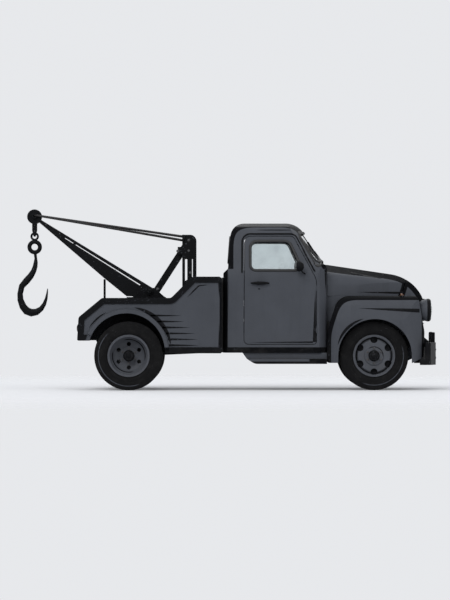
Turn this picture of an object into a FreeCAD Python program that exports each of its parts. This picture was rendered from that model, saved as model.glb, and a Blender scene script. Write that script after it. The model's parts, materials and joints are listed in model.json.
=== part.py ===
"""A classic bonneted tow truck: cab, wrecker body and luffing crane on a ladder frame.

Units are millimetres. X points forward, Y to the truck's left and Z up. The model is laid out with
x = 0 at the rear axle, and every piece is shifted at export so that the origin lies on the ground
in the middle of the whole truck, hook included. Each piece is written to parts/NAME.step.
"""

import FreeCAD, Part
import math
import os

V = FreeCAD.Vector

# ---- driving sizes -------------------------------------------------------------------------------
wheelbase = 3205
tyre_radius = 450
tyre_width = 185
tread_width = 150
rim_radius = 258          # seat of the tyre bead
rim_flange = 276
rim_wall = 10
front_track = 1540
dual_centre = 767         # y of the middle of a rear pair
dual_spacing = 250
wheel_z = tyre_radius

fit_gap = 0.3             # between curved faces that seat on each other
seam = 8                  # gap round doors and bonnet

# cab
cab_length = 1358
cab_front = wheelbase - 617
cab_back = cab_front - cab_length
cab_bottom = 490
cab_half_width = 885
cab_sill_half_width = cab_half_width - 20
cab_roof_half_width = cab_half_width - 160
cab_wall = 55
belt_z = 1560
cowl_z = 1643
roof_z = 2190
greenhouse_inset = 66     # step of the upper back wall from the lower one
windshield_rake = 33.4    # degrees from upright
windshield_radius = 2100  # plan radius of the wrapped windscreen
floor_z = 700
floor_thickness = 40
glass_thickness = 8

# doors
door_front = cab_front - 139
door_back = cab_back + 278
door_bottom = 603
door_top = 2010
door_lean = 8             # the rear edge leans in at the top so that it swings clear

# front clip: bonnet, nose and wings
crown_z = 1232            # top of the front wings
nose_front = wheelbase + 661
bonnet_front = wheelbase + 425   # rear edge of the nose below the wing tops
bonnet_reach = 1057       # bonnet length from its hinge to its front seam
sheet = 22                # thickness of wings, bonnet and nose
bonnet_half_rear = 700
bonnet_half_front = 400
grille_slots = 7
grille_slot = 40
grille_pitch = 60
grille_bottom = 760
grille_half_width = 250
wing_half_width = 962
wing_back = cab_front + 2
wing_bottom = 358
wing_front_bottom = 430
arch_radius = tyre_radius + 30   # front wheel arch
arch_shift = 10           # its centre lies this far ahead of the axle

# bumper
bumper_front = wheelbase + 820
bumper_depth = 158
bumper_bottom = 331
bumper_top = 623
bumper_half_width = 930
guard_top = 755

# frame
rail_outer = 430
rail_width = 60
rail_bottom = 560
rail_top = floor_z
nose_bottom = rail_top + 8

# wrecker body
body_gap = 15
body_front = cab_back - body_gap
body_half_width = 1000
body_skin = 35
body_bottom = 484
tail_x = -670
tail_bottom = 649
deck_z = 1190
deck_thickness = 40
rail_z = 1206             # top edge of the body sides
rail_band = 80            # depth of the dark edge band
band_proud = 14
toolbox_z = 1484
toolbox_length = 383
toolbox_back = body_front - toolbox_length
rear_arch_radius = tyre_radius + 53
rear_arch_x = -29
rear_arch_z = wheel_z + 53
lip_width = 50
lip_proud = 30

# crane
mast_front = toolbox_back + 46
mast_depth = 185                  # front to back, three uprights
mast_top = 2040
mast_half_width = 250             # y of the outer face of each side frame
mast_plate = 40
pivot_x = 262
pivot_z = 1290
pivot_radius = 25
boom_angle = 147.0                # of the boom's centreline from +X
boom_length = 1820                # pivot to sheave centre
boom_half_foot = 170
boom_half_head = 50
sheave_radius = 97
cable_radius = 14
rest_radius = 10

# hook, hung plumb below the sheave
ring_outer = 57
eye_outer = 97
eye_hole = 42

# axles and steering
king_y = 680              # upright steering pivots
steer_arm = 180
hub_radius = 66
spindle_front = 30
spindle_rear = 45
running_fit = 0.05        # between a spindle or pin and its bore
rim_half = 78
bead_half = 70
engine_length = 780
column_y = 380
wheel_behind_cowl = 558   # centre of the steering wheel behind the front of the cab

# running boards
board_top = 411
board_thickness = 66
board_inner = 600
board_outer = 945

sheave_x = pivot_x + boom_length * math.cos(math.radians(boom_angle))
sheave_z = pivot_z + boom_length * math.sin(math.radians(boom_angle))
hook_reach = 230.1                # back of the hook behind the sheave centre
middle_x = (bumper_front + sheave_x - hook_reach) / 2


# ---- helpers -------------------------------------------------------------------------------------
PLANES = {
    "xz": (lambda u, v, w: V(u, w, v), V(0, 1, 0)),
    "yz": (lambda u, v, w: V(w, u, v), V(1, 0, 0)),
    "xy": (lambda u, v, w: V(u, v, w), V(0, 0, 1)),
}


def outline(corners, plane, at=0):
    """Closed wire through (u, v, corner radius) corners: straight runs joined by tangent arcs."""
    to3d = PLANES[plane][0]
    starts, edges = [], []
    count = len(corners)
    for i, (u, v, radius) in enumerate(corners):
        before, after = corners[i - 1], corners[(i + 1) % count]
        a = V(before[0] - u, before[1] - v, 0)
        b = V(after[0] - u, after[1] - v, 0)
        if radius <= 0:
            starts.append((V(u, v, 0), V(u, v, 0)))
            continue
        half = a.getAngle(b) / 2
        a.normalize()
        b.normalize()
        cut = radius / math.tan(half)
        bisector = a + b
        bisector.normalize()
        corner = V(u, v, 0)
        first, last = corner + a * cut, corner + b * cut
        middle = corner + bisector * (radius / math.sin(half) - radius)
        starts.append((first, last))
        arc = [to3d(p.x, p.y, at) for p in (first, middle, last)]
        edges.append((i, Part.Arc(*arc).toShape()))
    arcs = dict(edges)
    ring = []
    for i in range(count):
        if i in arcs:
            ring.append(arcs[i])
        p, q = starts[i][1], starts[(i + 1) % count][0]
        if (q - p).Length > 1e-4:
            ring.append(Part.makeLine(to3d(p.x, p.y, at), to3d(q.x, q.y, at)))
    return Part.Wire(ring)


def inset(corners, distance):
    """The same counter-clockwise outline moved inwards; arcs keep their centres."""
    moved = []
    count = len(corners)
    for i, (u, v, radius) in enumerate(corners):
        p = V(*corners[i - 1][:2], 0)
        c = V(u, v, 0)
        n = V(*corners[(i + 1) % count][:2], 0)
        a, b = c - p, n - c
        a.normalize()
        b.normalize()
        na, nb = V(-a.y, a.x, 0), V(-b.y, b.x, 0)
        turn = a.x * b.y - a.y * b.x
        bend = (na + nb) * (distance / (1 + na.dot(nb)))
        new_radius = radius - distance if turn > 0 else radius + distance
        moved.append((u + bend.x, v + bend.y, max(new_radius, 0) if radius > 0 else 0))
    return moved


def prism(corners, plane, low, high):
    """Solid of that outline between low and high on the plane's normal."""
    face = Part.Face(outline(corners, plane, low))
    return face.extrude(PLANES[plane][1] * (high - low))


def both_sides(corners, plane, low, high):
    """Two equal prisms, left and right, as one shape of two solids."""
    left = prism(corners, plane, low, high)
    return [left, mirrored(left)]


def largest(shape):
    return max(shape.Solids, key=lambda solid: solid.Volume)


def mirrored(shape):
    return shape.mirror(V(0, 0, 0), V(0, 1, 0))


def block(x0, x1, y0, y1, z0, z1):
    return Part.makeBox(x1 - x0, y1 - y0, z1 - z0, V(x0, y0, z0))


def rod(a, b, radius):
    a, b = V(*a), V(*b)
    return Part.makeCylinder(radius, (b - a).Length, a, b - a)


def ring_about_y(profile, x, z, y=0):
    """Turned solid: profile corners are (y, radius, corner radius), spun about the Y axis."""
    wire = outline(profile, "yz")
    solid = Part.Face(wire).revolve(V(0, 0, 0), V(0, 1, 0), 360)
    solid.translate(V(x, y, z))
    return solid


def beam(a, b, size_a, size_b):
    """Straight tapered bar from a to b; sizes are (width along Y, depth across) at each end."""
    a, b = V(*a), V(*b)
    along = b - a
    along.normalize()
    across = V(0, 1, 0)
    deep = along.cross(across)
    deep.normalize()
    wires = []
    for p, (w, d) in ((a, size_a), (b, size_b)):
        c = [p + across * (sy * w / 2) + deep * (sd * d / 2)
             for sy, sd in ((-1, -1), (1, -1), (1, 1), (-1, 1))]
        wires.append(Part.makePolygon(c + [c[0]]))
    return Part.makeLoft(wires, True, True)


def fused(shapes):
    first = shapes[0]
    return first.multiFuse(shapes[1:]).removeSplitter() if len(shapes) > 1 else first


def rectangle(u0, v0, u1, v1, radius=0):
    return [(u0, v0, radius), (u1, v0, radius), (u1, v1, radius), (u0, v1, radius)]


# ---- cab -----------------------------------------------------------------------------------------
rake = math.tan(math.radians(windshield_rake))
roof_front = cab_front - (roof_z - cowl_z) * rake - 12
roof_split = cab_back + 670       # ahead of this line the cab wraps round in plan


def cab_side(bottom):
    """Side outline of the cab: x, z, corner radius."""
    return [
        (cab_back, bottom, 60),
        (cab_front, bottom, 0),
        (cab_front, cowl_z, 30),
        (cab_front - 14, cowl_z, 0),
        (roof_front, roof_z, 280),
        (cab_back + greenhouse_inset + 44, roof_z, 195),
        (cab_back + greenhouse_inset, belt_z + 28, 20),
        (cab_back + 5, belt_z - 30, 30),
    ]


def cab_end(bottom):
    """Front outline of the cab: y, z, corner radius, with tumblehome and a crowned roof."""
    side = [
        (cab_sill_half_width, bottom, 25),
        (cab_half_width, belt_z - 60, 500),
        (cab_roof_half_width, roof_z - 56, 130),
    ]
    crown = [(0, roof_z + 18, 3000)]
    other = [(-y, z, r) for y, z, r in reversed(side)]
    return side + crown + other


def cab_plan():
    """Plan outline of the cab: x, y, corner radius."""
    w = cab_half_width + 15
    return [
        (cab_back, -w, 150), (cab_front - 132, -w, 200), (cab_front, -w + 110, 70),
        (cab_front, w - 110, 70), (cab_front - 132, w, 200), (cab_back, w, 150),
    ]


def cab_solid(depth, bottom=cab_bottom):
    """Cab body shrunk by depth on every side but the bottom."""
    side = inset(cab_side(bottom - 100), depth)
    wide = cab_half_width + 100
    column = prism(side, "xz", -wide, wide)
    rear = column.common(block(cab_back - 50, roof_split, -wide, wide, 0, roof_z + 50))
    base = column.common(block(roof_split, cab_front + 50, -wide, wide, 0, cowl_z))
    axis_x = cab_front - windshield_radius
    face = Part.Face(outline(side, "xz", 0))
    face.rotate(V(axis_x, 0, 0), V(0, 0, 1), -32)
    wrapped = face.revolve(V(axis_x, 0, 0), V(0, 0, 1), 64)
    front = wrapped.common(block(roof_split, cab_front + 50, -wide, wide, cowl_z - 200, roof_z + 50))
    body = fused([rear, base, front])
    body = body.common(prism(inset(cab_end(bottom - 100), depth), "yz", cab_back - 50, cab_front + 50))
    body = body.common(prism(inset(cab_plan(), depth), "xy", bottom - 150, roof_z + 50))
    return body.cut(block(cab_back - 50, cab_front + 50, -wide, wide, 0, bottom))


def door_outline():
    """Door in side view: x, z, corner radius; its front edge leans back beside the screen."""
    return [
        (door_back, door_bottom, 60),
        (door_front, door_bottom, 40),
        (door_front, 1445, 220),
        (door_front - 301, door_top, 60),
        (door_back + door_lean, door_top, 70),
    ]


def window_outline():
    """Side window opening: x, z, corner radius."""
    return [
        (door_back + 92, 1577, 60),
        (door_front - 193, 1577, 50),
        (door_front - 358, 1938, 90),
        (door_back + 92, 1938, 75),
    ]


hinge_x = door_front + seam / 2       # upright hinge axis, in the seam at the outer skin
hinge_y = cab_half_width - 2
hinge_length = 70
hinge_heights = (door_bottom + 150, belt_z - 260)


def door_knuckle(z, side):
    """Hinge knuckle and its tab on the door's front edge."""
    pin = rod((hinge_x, hinge_y, z), (hinge_x, hinge_y, z + hinge_length), seam / 2 - fit_gap)
    tab = block(door_front - 3, hinge_x, hinge_y - 30, hinge_y + 3, z, z + hinge_length)
    knuckle = pin.fuse(tab)
    return knuckle if side > 0 else mirrored(knuckle)


windshield_outline = [(-640, 1700, 60), (640, 1700, 60), (560, 2050, 80), (-560, 2050, 80)]
rear_window_outline = rectangle(-430, 1690, 430, 1990, 90)


def make_cab():
    outer = cab_solid(0)
    inner = cab_solid(cab_wall, cab_bottom - 50)
    shell = outer.cut(inner)
    wide = cab_half_width + 100
    windshield_hole = prism(windshield_outline, "yz", cab_front - 500, cab_front + 50)
    rear_hole = prism(rear_window_outline, "yz", cab_back - 50, cab_back + 300)
    openings = fused([windshield_hole, rear_hole])
    glass_band = cab_solid(cab_wall / 2).cut(cab_solid(cab_wall / 2 + glass_thickness))
    doors = {}
    for side in (1, -1):
        low, high = (400, wide) if side > 0 else (-wide, -400)
        door = prism(door_outline(), "xz", low, high)
        window = prism(window_outline(), "xz", low, high)
        leaf = shell.common(door)
        knuckles = [door_knuckle(z, side) for z in hinge_heights]
        doors[side] = (fused([leaf.cut(window)] + knuckles), glass_band.common(window))
    doorway = inset(door_outline(), -seam)
    cut_doors = prism(doorway, "xz", -wide, -400).fuse(prism(doorway, "xz", 400, wide))
    tunnel = block(cab_back - 50, cab_front + 50, -rail_outer - 10, rail_outer + 10, 0, rail_top)
    body = shell.cut(fused([openings, cut_doors, tunnel]))
    glass = glass_band.common(openings)
    clear = cab_sill_half_width - cab_wall - 12
    floor = inner.common(block(cab_back, cab_front, -clear, clear, floor_z, floor_z + floor_thickness))
    step = block(door_back - 20, door_front + 20, clear - 20, clear, door_bottom - 48, floor_z)
    floor = fused([floor, step, mirrored(step)])
    dash = inner.common(block(cab_front - 290, cab_front, -clear, clear, 1330, 1600))
    return body, glass, doors, floor, dash, inner


def make_seat():
    profile = [
        (cab_back + 170, floor_z + floor_thickness + fit_gap, 0),
        (cab_back + 760, floor_z + floor_thickness + fit_gap, 0),
        (cab_back + 780, 1110, 60), (cab_back + 330, 1080, 30), (cab_back + 250, 1610, 50),
        (cab_back + 140, 1610, 40),
    ]
    return prism(profile, "xz", -660, 660)


def make_mirror():
    """Left mirror: a ball-shaped housing with a flat rear face, on an arm from the door."""
    x, y, z = door_front - 226, cab_half_width + 100, 1616
    ball = Part.makeSphere(66, V(x, y, z), V(1, 0, 0))
    ball = ball.common(block(x - 34, x + 63, y - 100, y + 100, z - 100, z + 100))
    foot = (door_front - 139, cab_half_width - 25, 1517)
    bend = (door_front - 180, cab_half_width + 70, 1540)
    arm = fused([rod(foot, bend, 8), Part.makeSphere(8, V(*bend)), rod(bend, (x, y, z), 8)])
    keep = cab_solid(0)
    return fused([arm.cut(keep), ball])


# ---- steering ------------------------------------------------------------------------------------
wheel_hub = V(cab_front - wheel_behind_cowl, column_y, 1440)
column_foot = V(cab_front - 80, column_y, 880)
column_way = (wheel_hub - column_foot).normalize()


def make_column(inner):
    foot = column_foot - column_way * 200
    shape = Part.makeCylinder(28, (wheel_hub - foot).Length - 26, foot, column_way)
    return shape.common(inner)


def make_steering_wheel():
    rim = Part.makeTorus(205, 14, wheel_hub, column_way)
    hub = Part.makeCylinder(42, 50, wheel_hub - column_way * 25, column_way)
    pieces = [rim, hub]
    across = column_way.cross(V(0, 1, 0)).normalize()
    for turn in (90, 210, 330):
        a = math.radians(turn)
        way = V(0, 1, 0) * math.cos(a) + across * math.sin(a)
        pieces.append(Part.makeCylinder(9, 205, wheel_hub, way))
    return fused(pieces)


# ---- bonnet, nose and wings ----------------------------------------------------------------------
def clip_solid(depth):
    """Bonnet and nose together, shrunk by depth."""
    side = [
        (cab_front + seam, crown_z + fit_gap, 0),
        (bonnet_front, crown_z + fit_gap, 0),
        (bonnet_front, nose_bottom, 0),
        (nose_front - 10, nose_bottom, 30),
        (nose_front + 46, crown_z - 112, 400),
        (nose_front - 157, cowl_z - 164, 560),
        (cab_front + seam, cowl_z, 0),
    ]
    end = [
        (bonnet_half_rear, 500, 0), (bonnet_half_rear - 8, 1500, 190), (250, cowl_z + 34, 500),
        (-250, cowl_z + 34, 500), (-bonnet_half_rear + 8, 1500, 190), (-bonnet_half_rear, 500, 0),
    ]
    taper = bonnet_half_front / bonnet_half_rear
    fall = 150
    front_end = [(y * taper, z - fall if z > 1000 else z, r * taper) for y, z, r in end]
    plan = [
        (cab_front, -bonnet_half_rear - 20, 0), (bonnet_front, -bonnet_half_front - 20, 900),
        (nose_front - 20, -330, 170), (nose_front + 60, 0, 900), (nose_front - 20, 330, 170),
        (bonnet_front, bonnet_half_front + 20, 900), (cab_front, bonnet_half_rear + 20, 0),
    ]
    body = prism(inset(side, depth), "xz", -900, 900)
    # the section narrows and its shoulders fall away towards the nose
    drop = Part.makeLoft([
        outline(inset(end, depth), "yz", cab_front),
        outline(inset(front_end, depth), "yz", nose_front + 70),
    ], True, True)
    body = body.common(drop)
    return body.common(prism(inset(plan, depth), "xy", 400, 1900))


def make_clip():
    outer = clip_solid(0)
    inner = clip_solid(sheet)
    back = inner.copy()
    back.translate(V(-sheet - 10, 0, 0))
    opened = inner.fuse(back)
    down = opened.copy()
    down.translate(V(0, 0, -sheet - 30))
    shell = outer.cut(fused([opened, down]))
    # the seam is an arc about the bonnet's hinge, so that the bonnet lifts past the nose
    wide = bonnet_half_rear + 50
    axis = V(cab_front + seam / 2, -wide, cowl_z)
    bonnet = shell.common(Part.makeCylinder(bonnet_reach, 2 * wide, axis, V(0, 1, 0)))
    nose = shell.cut(Part.makeCylinder(bonnet_reach + seam, 2 * wide, axis, V(0, 1, 0)))
    slots = []
    for i in range(grille_slots):
        z = grille_bottom + i * grille_pitch
        slot = rectangle(-grille_half_width, z, grille_half_width, z + grille_slot, grille_slot * 0.45)
        slots.append(prism(slot, "yz", nose_front - 120, nose_front + 100))
    return bonnet, nose.cut(fused(slots)), outer


def wing_solid(depth):
    """Left front wing, outer form shrunk by depth."""
    side = [
        (wing_back, wing_bottom, 30), (wheelbase - 468, wing_bottom, 0), (wheelbase + 500, wing_bottom, 0),
        (nose_front - 13, wing_front_bottom, 40), (nose_front + 2, 760, 200),
        (nose_front - 88, crown_z, 70), (wing_back + 150, crown_z, 190), (wing_back, 760, 900),
    ]
    end = [
        (250, 300, 0), (wing_half_width - 30, 300, 0), (wing_half_width, 900, 500),
        (wing_half_width - 60, crown_z, 170), (250, crown_z + 20, 0),
    ]
    plan = [
        (wing_back, 250, 0), (nose_front + 10, 250, 0), (nose_front + 10, wing_half_width - 150, 220),
        (nose_front - 200, wing_half_width, 400), (wing_back + 120, wing_half_width, 200),
        (wing_back, wing_half_width - 70, 60),
    ]
    body = prism(inset(side, depth), "xz", 200, 1000)
    body = body.common(prism(inset(end, depth), "yz", wing_back - 50, nose_front + 50))
    return body.common(prism(inset(plan, depth), "xy", 200, 1400))


cowl_side_y = bonnet_half_rear - 50
apron_y = rail_outer - rail_width + 15    # inner apron, standing on the frame rail


def make_wing(clip_outer):
    outer = wing_solid(0)
    inner = wing_solid(sheet)
    inward, down = inner.copy(), inner.copy()
    inward.translate(V(0, -300, 0))
    down.translate(V(0, 0, -200))
    shell = outer.cut(fused([inner, inward, down]))
    arch_x = wheelbase + arch_shift
    arch = Part.makeCylinder(arch_radius, 700, V(arch_x, 350, wheel_z), V(0, 1, 0))
    below = block(arch_x - arch_radius, arch_x + arch_radius, 350, 1100, 0, wheel_z)
    centre = block(wing_back - 50, nose_front + 50, -100, apron_y, 0, crown_z + 60)
    rail = block(wing_back - 50, nose_front + 50, -100, rail_outer + 6, 0, rail_top)
    shell = shell.cut(fused([clip_outer, arch, below, centre, rail]))
    apron = block(wing_back, bonnet_front, apron_y, apron_y + sheet, rail_top, crown_z - 1)
    apron = apron.common(outer).cut(clip_outer)
    # the cowl side closes the corner between wing, cab and bonnet
    cowl = block(cab_front, wing_back + 300, cowl_side_y, cowl_side_y + sheet, 900, crown_z)
    cowl = cowl.cut(outer)
    return fused([largest(shell), apron, largest(cowl)]), outer

# ---- lamps, bumper, boards -----------------------------------------------------------------------
lamp_y = 690
lamp_z = 1047
lamp_radius = 150
lamp_front = nose_front + 106


def make_lamps(wing_outer):
    front = lamp_front
    profile = [
        (front - 230, 0, 0), (front, 0, 0), (front, 15, 0), (front - 12, 85, 400),
        (front - 32, lamp_radius - 12, 30),
        (front - 36, lamp_radius, 8), (front - 72, lamp_radius, 8), (front - 160, 118, 90),
    ]
    wire = outline([(x, r, c) for x, r, c in profile], "xy")
    bucket = Part.Face(wire).revolve(V(0, 0, 0), V(1, 0, 0), 360)
    bucket.translate(V(0, lamp_y, lamp_z))
    left = bucket.cut(wing_outer)
    left = max(left.Solids, key=lambda s: s.Volume)
    return [left, mirrored(left)]


def make_bumper():
    w = bumper_half_width
    face, back = bumper_front, bumper_front - bumper_depth
    plan = [
        (back, -w, 18), (back + 72, -w, 25), (face, -w + 330, 500), (face, w - 330, 500),
        (back + 72, w, 25), (back, w, 18), (face - 62, w - 380, 500), (face - 62, -w + 380, 500),
    ]
    pieces = [prism(plan, "xy", bumper_bottom, bumper_top)]
    for y in (-330, 330):
        pieces.append(prism(
            [(face - 54, bumper_top - 30, 0), (face - 4, bumper_top - 30, 0), (face - 4, guard_top, 12),
             (face - 54, guard_top, 20)], "xz", y - 45, y + 45))
    for y in (-w + 4, w - 34):
        pieces.append(block(back - 66, back + 20, y, y + 30, bumper_bottom, bumper_bottom + 73))
    return fused(pieces)


def make_boards():
    profile = [
        (door_back + 138, board_top - board_thickness, 130), (wing_back - 2, board_top - board_thickness, 0),
        (wing_back - 2, board_top, 0), (door_back + 34, board_top, 0),
    ]
    boards = both_sides(profile, "xz", board_inner, board_outer)
    panel = [
        (door_back + 34, board_top, 0), (wing_back - 2, board_top, 0), (wing_back - 2, cab_bottom, 0),
        (door_back - 22, cab_bottom, 0),
    ]
    y = cab_sill_half_width - 45
    panels = both_sides(panel, "xz", y, y + 20)
    return boards, panels


# ---- frame, engine and axles ---------------------------------------------------------------------
rail_front = bumper_front - 62
rail_tail = tail_x + deck_thickness
beam_bottom = 600         # underside of the crossmembers
axle_pad = 35             # half height of the front axle beam


def make_frame():
    side = [
        (rail_tail, tail_bottom, 0), (-440, tail_bottom, 0), (-400, rail_bottom, 0),
        (rail_front, rail_bottom, 0), (rail_front, bumper_top - 3, 0), (rail_front - 100, rail_top, 0),
        (rail_tail, rail_top, 0),
    ]
    rails = both_sides(side, "xz", rail_outer - rail_width, rail_outer)
    inner = rail_outer - rail_width
    cross = []
    beams = ((-560, tail_bottom), (330, beam_bottom + 30), (900, beam_bottom), (1700, beam_bottom),
             (bonnet_front - 65, rail_bottom))
    for x, low in beams:
        cross.append(block(x, x + 80, -inner, inner, low, rail_top))
    return rails, cross


engine_back = cab_front + 70
engine_front = engine_back + engine_length


def make_engine():
    sump = rail_bottom + 40
    main = block(engine_back, engine_front, -230, 230, sump, 1180)
    bell = block(engine_back - 120, engine_back, -170, 170, 500, 690)
    gearbox = block(engine_back - 560, engine_back - 120, -110, 110, 480, 670)
    pan = block(engine_back, engine_front - 130, -150, 150, 510, sump)
    return fused([main, bell, gearbox, pan])


def make_radiator():
    x = bonnet_front - 60
    return block(x, x + 70, -290, 290, rail_top, 1250)


pinion_end = V(240, 0, wheel_z + 26)


def make_pinion():
    return rod((100, 0, wheel_z + 20), pinion_end, 55)


def make_rear_axle():
    profile = [(-190, 0, 0), (190, 0, 0), (150, 100, 60), (60, 165, 70), (-60, 165, 70), (-150, 100, 60)]
    wire = outline(profile, "yz")
    bowl = Part.Face(wire).revolve(V(0, 0, 0), V(0, 1, 0), 360)
    bowl.translate(V(0, 0, wheel_z))
    end = dual_centre - 62
    tube = rod((0, -end, wheel_z), (0, end, wheel_z), 60)
    spindle = rod((0, -dual_centre - 110, wheel_z), (0, dual_centre + 110, wheel_z), spindle_rear)
    pads = [block(-70, 70, y, y + rail_width, wheel_z + 40, rear_pad)
            for y in (rail_outer - rail_width, -rail_outer)]
    return fused([bowl, tube, spindle, make_pinion()] + pads)


rear_pad = wheel_z + 68
front_pad = wheel_z + axle_pad


def make_front_axle():
    beam_y = king_y - 25
    bar = block(wheelbase - 38, wheelbase + 38, -beam_y, beam_y, wheel_z - axle_pad, wheel_z + axle_pad)
    bosses = [rod((wheelbase, y, wheel_z - 62), (wheelbase, y, wheel_z + 62), 36) for y in (-king_y, king_y)]
    pins = [rod((wheelbase, y, wheel_z - 92), (wheelbase, y, wheel_z + 92), 14) for y in (-king_y, king_y)]
    return fused([bar] + bosses + pins)


def make_knuckle():
    """Left stub axle: two ears about the king pin, a backing plate, a spindle and its steering arm."""
    pin = 14 + running_fit
    ears = []
    for z in (wheel_z - 62 - fit_gap - 26, wheel_z + 62 + fit_gap):
        ears.append(rod((wheelbase, king_y, z), (wheelbase, king_y, z + 26), 34))
        ears.append(block(wheelbase - 34, wheelbase + 34, king_y, king_y + 60, z, z + 26))
    web = block(wheelbase - 34, wheelbase + 34, king_y + 42, king_y + 60, wheel_z - 88, wheel_z + 88)
    plate = rod((wheelbase, king_y + 56, wheel_z), (wheelbase, king_y + 66, wheel_z), 165)
    spindle = rod((wheelbase, king_y + 60, wheel_z), (wheelbase, king_y + 160, wheel_z), spindle_front)
    arm_z = wheel_z - 62 - fit_gap - 26
    arm = block(wheelbase - steer_arm, wheelbase, king_y - 16, king_y + 16, arm_z, arm_z + 26)
    eye = rod((wheelbase - steer_arm, king_y, arm_z), (wheelbase - steer_arm, king_y, arm_z + 26), 26)
    body = fused(ears + [web, plate, spindle, arm, eye])
    bore = rod((wheelbase, king_y, 0), (wheelbase, king_y, 900), pin)
    ball = rod((wheelbase - steer_arm, king_y, 0), (wheelbase - steer_arm, king_y, 900), 10 + running_fit)
    clear = rod((wheelbase, king_y, wheel_z - 62 - fit_gap), (wheelbase, king_y, wheel_z + 62 + fit_gap), 38)
    return body.cut(fused([bore, ball, clear]))


def make_tie_rod():
    arm_z = wheel_z - 62 - fit_gap - 26
    x = wheelbase - steer_arm
    z = arm_z - 22
    bar = rod((x, -king_y, z), (x, king_y, z), 14)
    ends = [rod((x, y, z - 18), (x, y, arm_z - 1), 20) for y in (-king_y, king_y)]
    studs = [rod((x, y, z), (x, y, arm_z + 24), r) for y, r in ((king_y, 10), (-king_y, 7))]
    return fused([bar] + ends + studs)


def make_springs():
    springs = []
    inner = rail_outer - rail_width
    for x, pad, back, front in ((wheelbase, front_pad, 470, 470), (0, rear_pad, 400, 620)):
        eye = rail_bottom
        profile = [
            (x - back, eye - 34, 0), (x - 80, pad, 0), (x + 80, pad, 0), (x + front, eye - 34, 0),
            (x + front, eye, 0), (x + front - 60, eye, 0), (x + 75, pad + 36, 0), (x - 75, pad + 36, 0),
            (x - back + 60, eye, 0), (x - back, eye, 0),
        ]
        springs += both_sides(profile, "xz", inner, rail_outer)
    return springs


def make_shaft():
    start = pinion_end
    end = V(engine_back - 560, 0, 560)
    way = (end - start).normalize()
    shaft = Part.makeCylinder(34, (end - start).Length, start, way)
    return shaft.common(block(start.x - 5, end.x, -60, 60, 300, 700)).cut(make_pinion())


def make_exhaust():
    y, z = -250, beam_bottom - 65
    pipe = rod((520, y, z), (engine_back + 160, y, z), 27)
    muffler = rod((1640, y, z), (2060, y, z), 65)
    manifold = block(engine_back + 100, engine_back + 160, y - 22, -230, z, 900)
    return fused([pipe, muffler, manifold]).cut(make_engine())


# ---- wheels --------------------------------------------------------------------------------------
def make_tyre(x, y):
    half, tread = tyre_width / 2, tread_width / 2
    bead = rim_radius + fit_gap
    section = tyre_radius - bead
    bulge, shoulder = bead + 0.391 * section, tyre_radius - 0.287 * section
    bulge_bend, shoulder_bend = 0.235 * section, 0.313 * section
    outer = [
        (-bead_half, rim_flange + 3, 6), (-bead_half, bead, 6), (bead_half, bead, 6),
        (bead_half, rim_flange + 3, 6),
        (half, bulge, bulge_bend), (half - 4, shoulder, shoulder_bend),
        (tread, tyre_radius, 16), (-tread, tyre_radius, 16), (-half + 4, shoulder, shoulder_bend),
        (-half, bulge, bulge_bend),
    ]
    inner = [
        (-bead_half + 22, bead - 8, 0), (bead_half - 22, bead - 8, 0), (bead_half - 22, bead + 20, 15),
        (half - 16, bulge, bulge_bend - 5), (half - 20, shoulder - 5, bulge_bend - 5),
        (tread - 12, tyre_radius - 24, 12), (-tread + 12, tyre_radius - 24, 12),
        (-half + 20, shoulder - 5, bulge_bend - 5), (-half + 16, bulge, bulge_bend - 5),
        (-bead_half + 22, bead + 20, 15),
    ]
    return ring_about_y(outer, x, wheel_z, y).cut(ring_about_y(inner, x, wheel_z, y))


def make_barrel():
    seat, under, lip = rim_radius, rim_radius - rim_wall, rim_flange
    return [
        (-rim_half, under, 4), (rim_half, under, 4), (rim_half, lip, 3), (bead_half + fit_gap, lip, 3),
        (bead_half + fit_gap, seat, 0), (-bead_half - fit_gap, seat, 0), (-bead_half - fit_gap, lip, 3),
        (-rim_half, lip, 3),
    ]


def holes(radius, ring, count, phase, y0, y1):
    cutters = []
    for i in range(count):
        a = math.radians(phase + i * 360 / count)
        x, z = ring * math.cos(a), ring * math.sin(a)
        cutters.append(rod((x, y0, z), (x, y1, z), radius))
    return cutters


def make_front_wheel():
    """Left front rim, centred on its axle: y = 0 is the middle of the tyre."""
    barrel = ring_about_y(make_barrel(), 0, 0)
    under = rim_radius - rim_wall
    disc = ring_about_y([
        (48, 40, 0), (60, 40, 4), (60, 118, 12), (42, 132, 10), (42, 212, 5), (14, 214, 4),
        (14, under + 4, 0), (2, under + 4, 0), (2, 202, 6), (30, 200, 4), (30, 126, 10), (48, 112, 10),
    ], 0, 0)
    disc = disc.cut(fused(holes(46, 212, 6, 30, -20, 70)))
    hub = ring_about_y([
        (king_y + 70 - front_track / 2, spindle_front + running_fit, 0),
        (king_y + 170 - front_track / 2, spindle_front + running_fit, 0),
        (king_y + 170 - front_track / 2, 4, 0), (118, 4, 0), (118, 40, 8), (104, hub_radius, 10),
        (king_y + 70 - front_track / 2, hub_radius, 0),
    ], 0, 0)
    wheel = fused([barrel, disc, hub])
    wheel.translate(V(wheelbase, front_track / 2, wheel_z))
    return wheel


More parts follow.
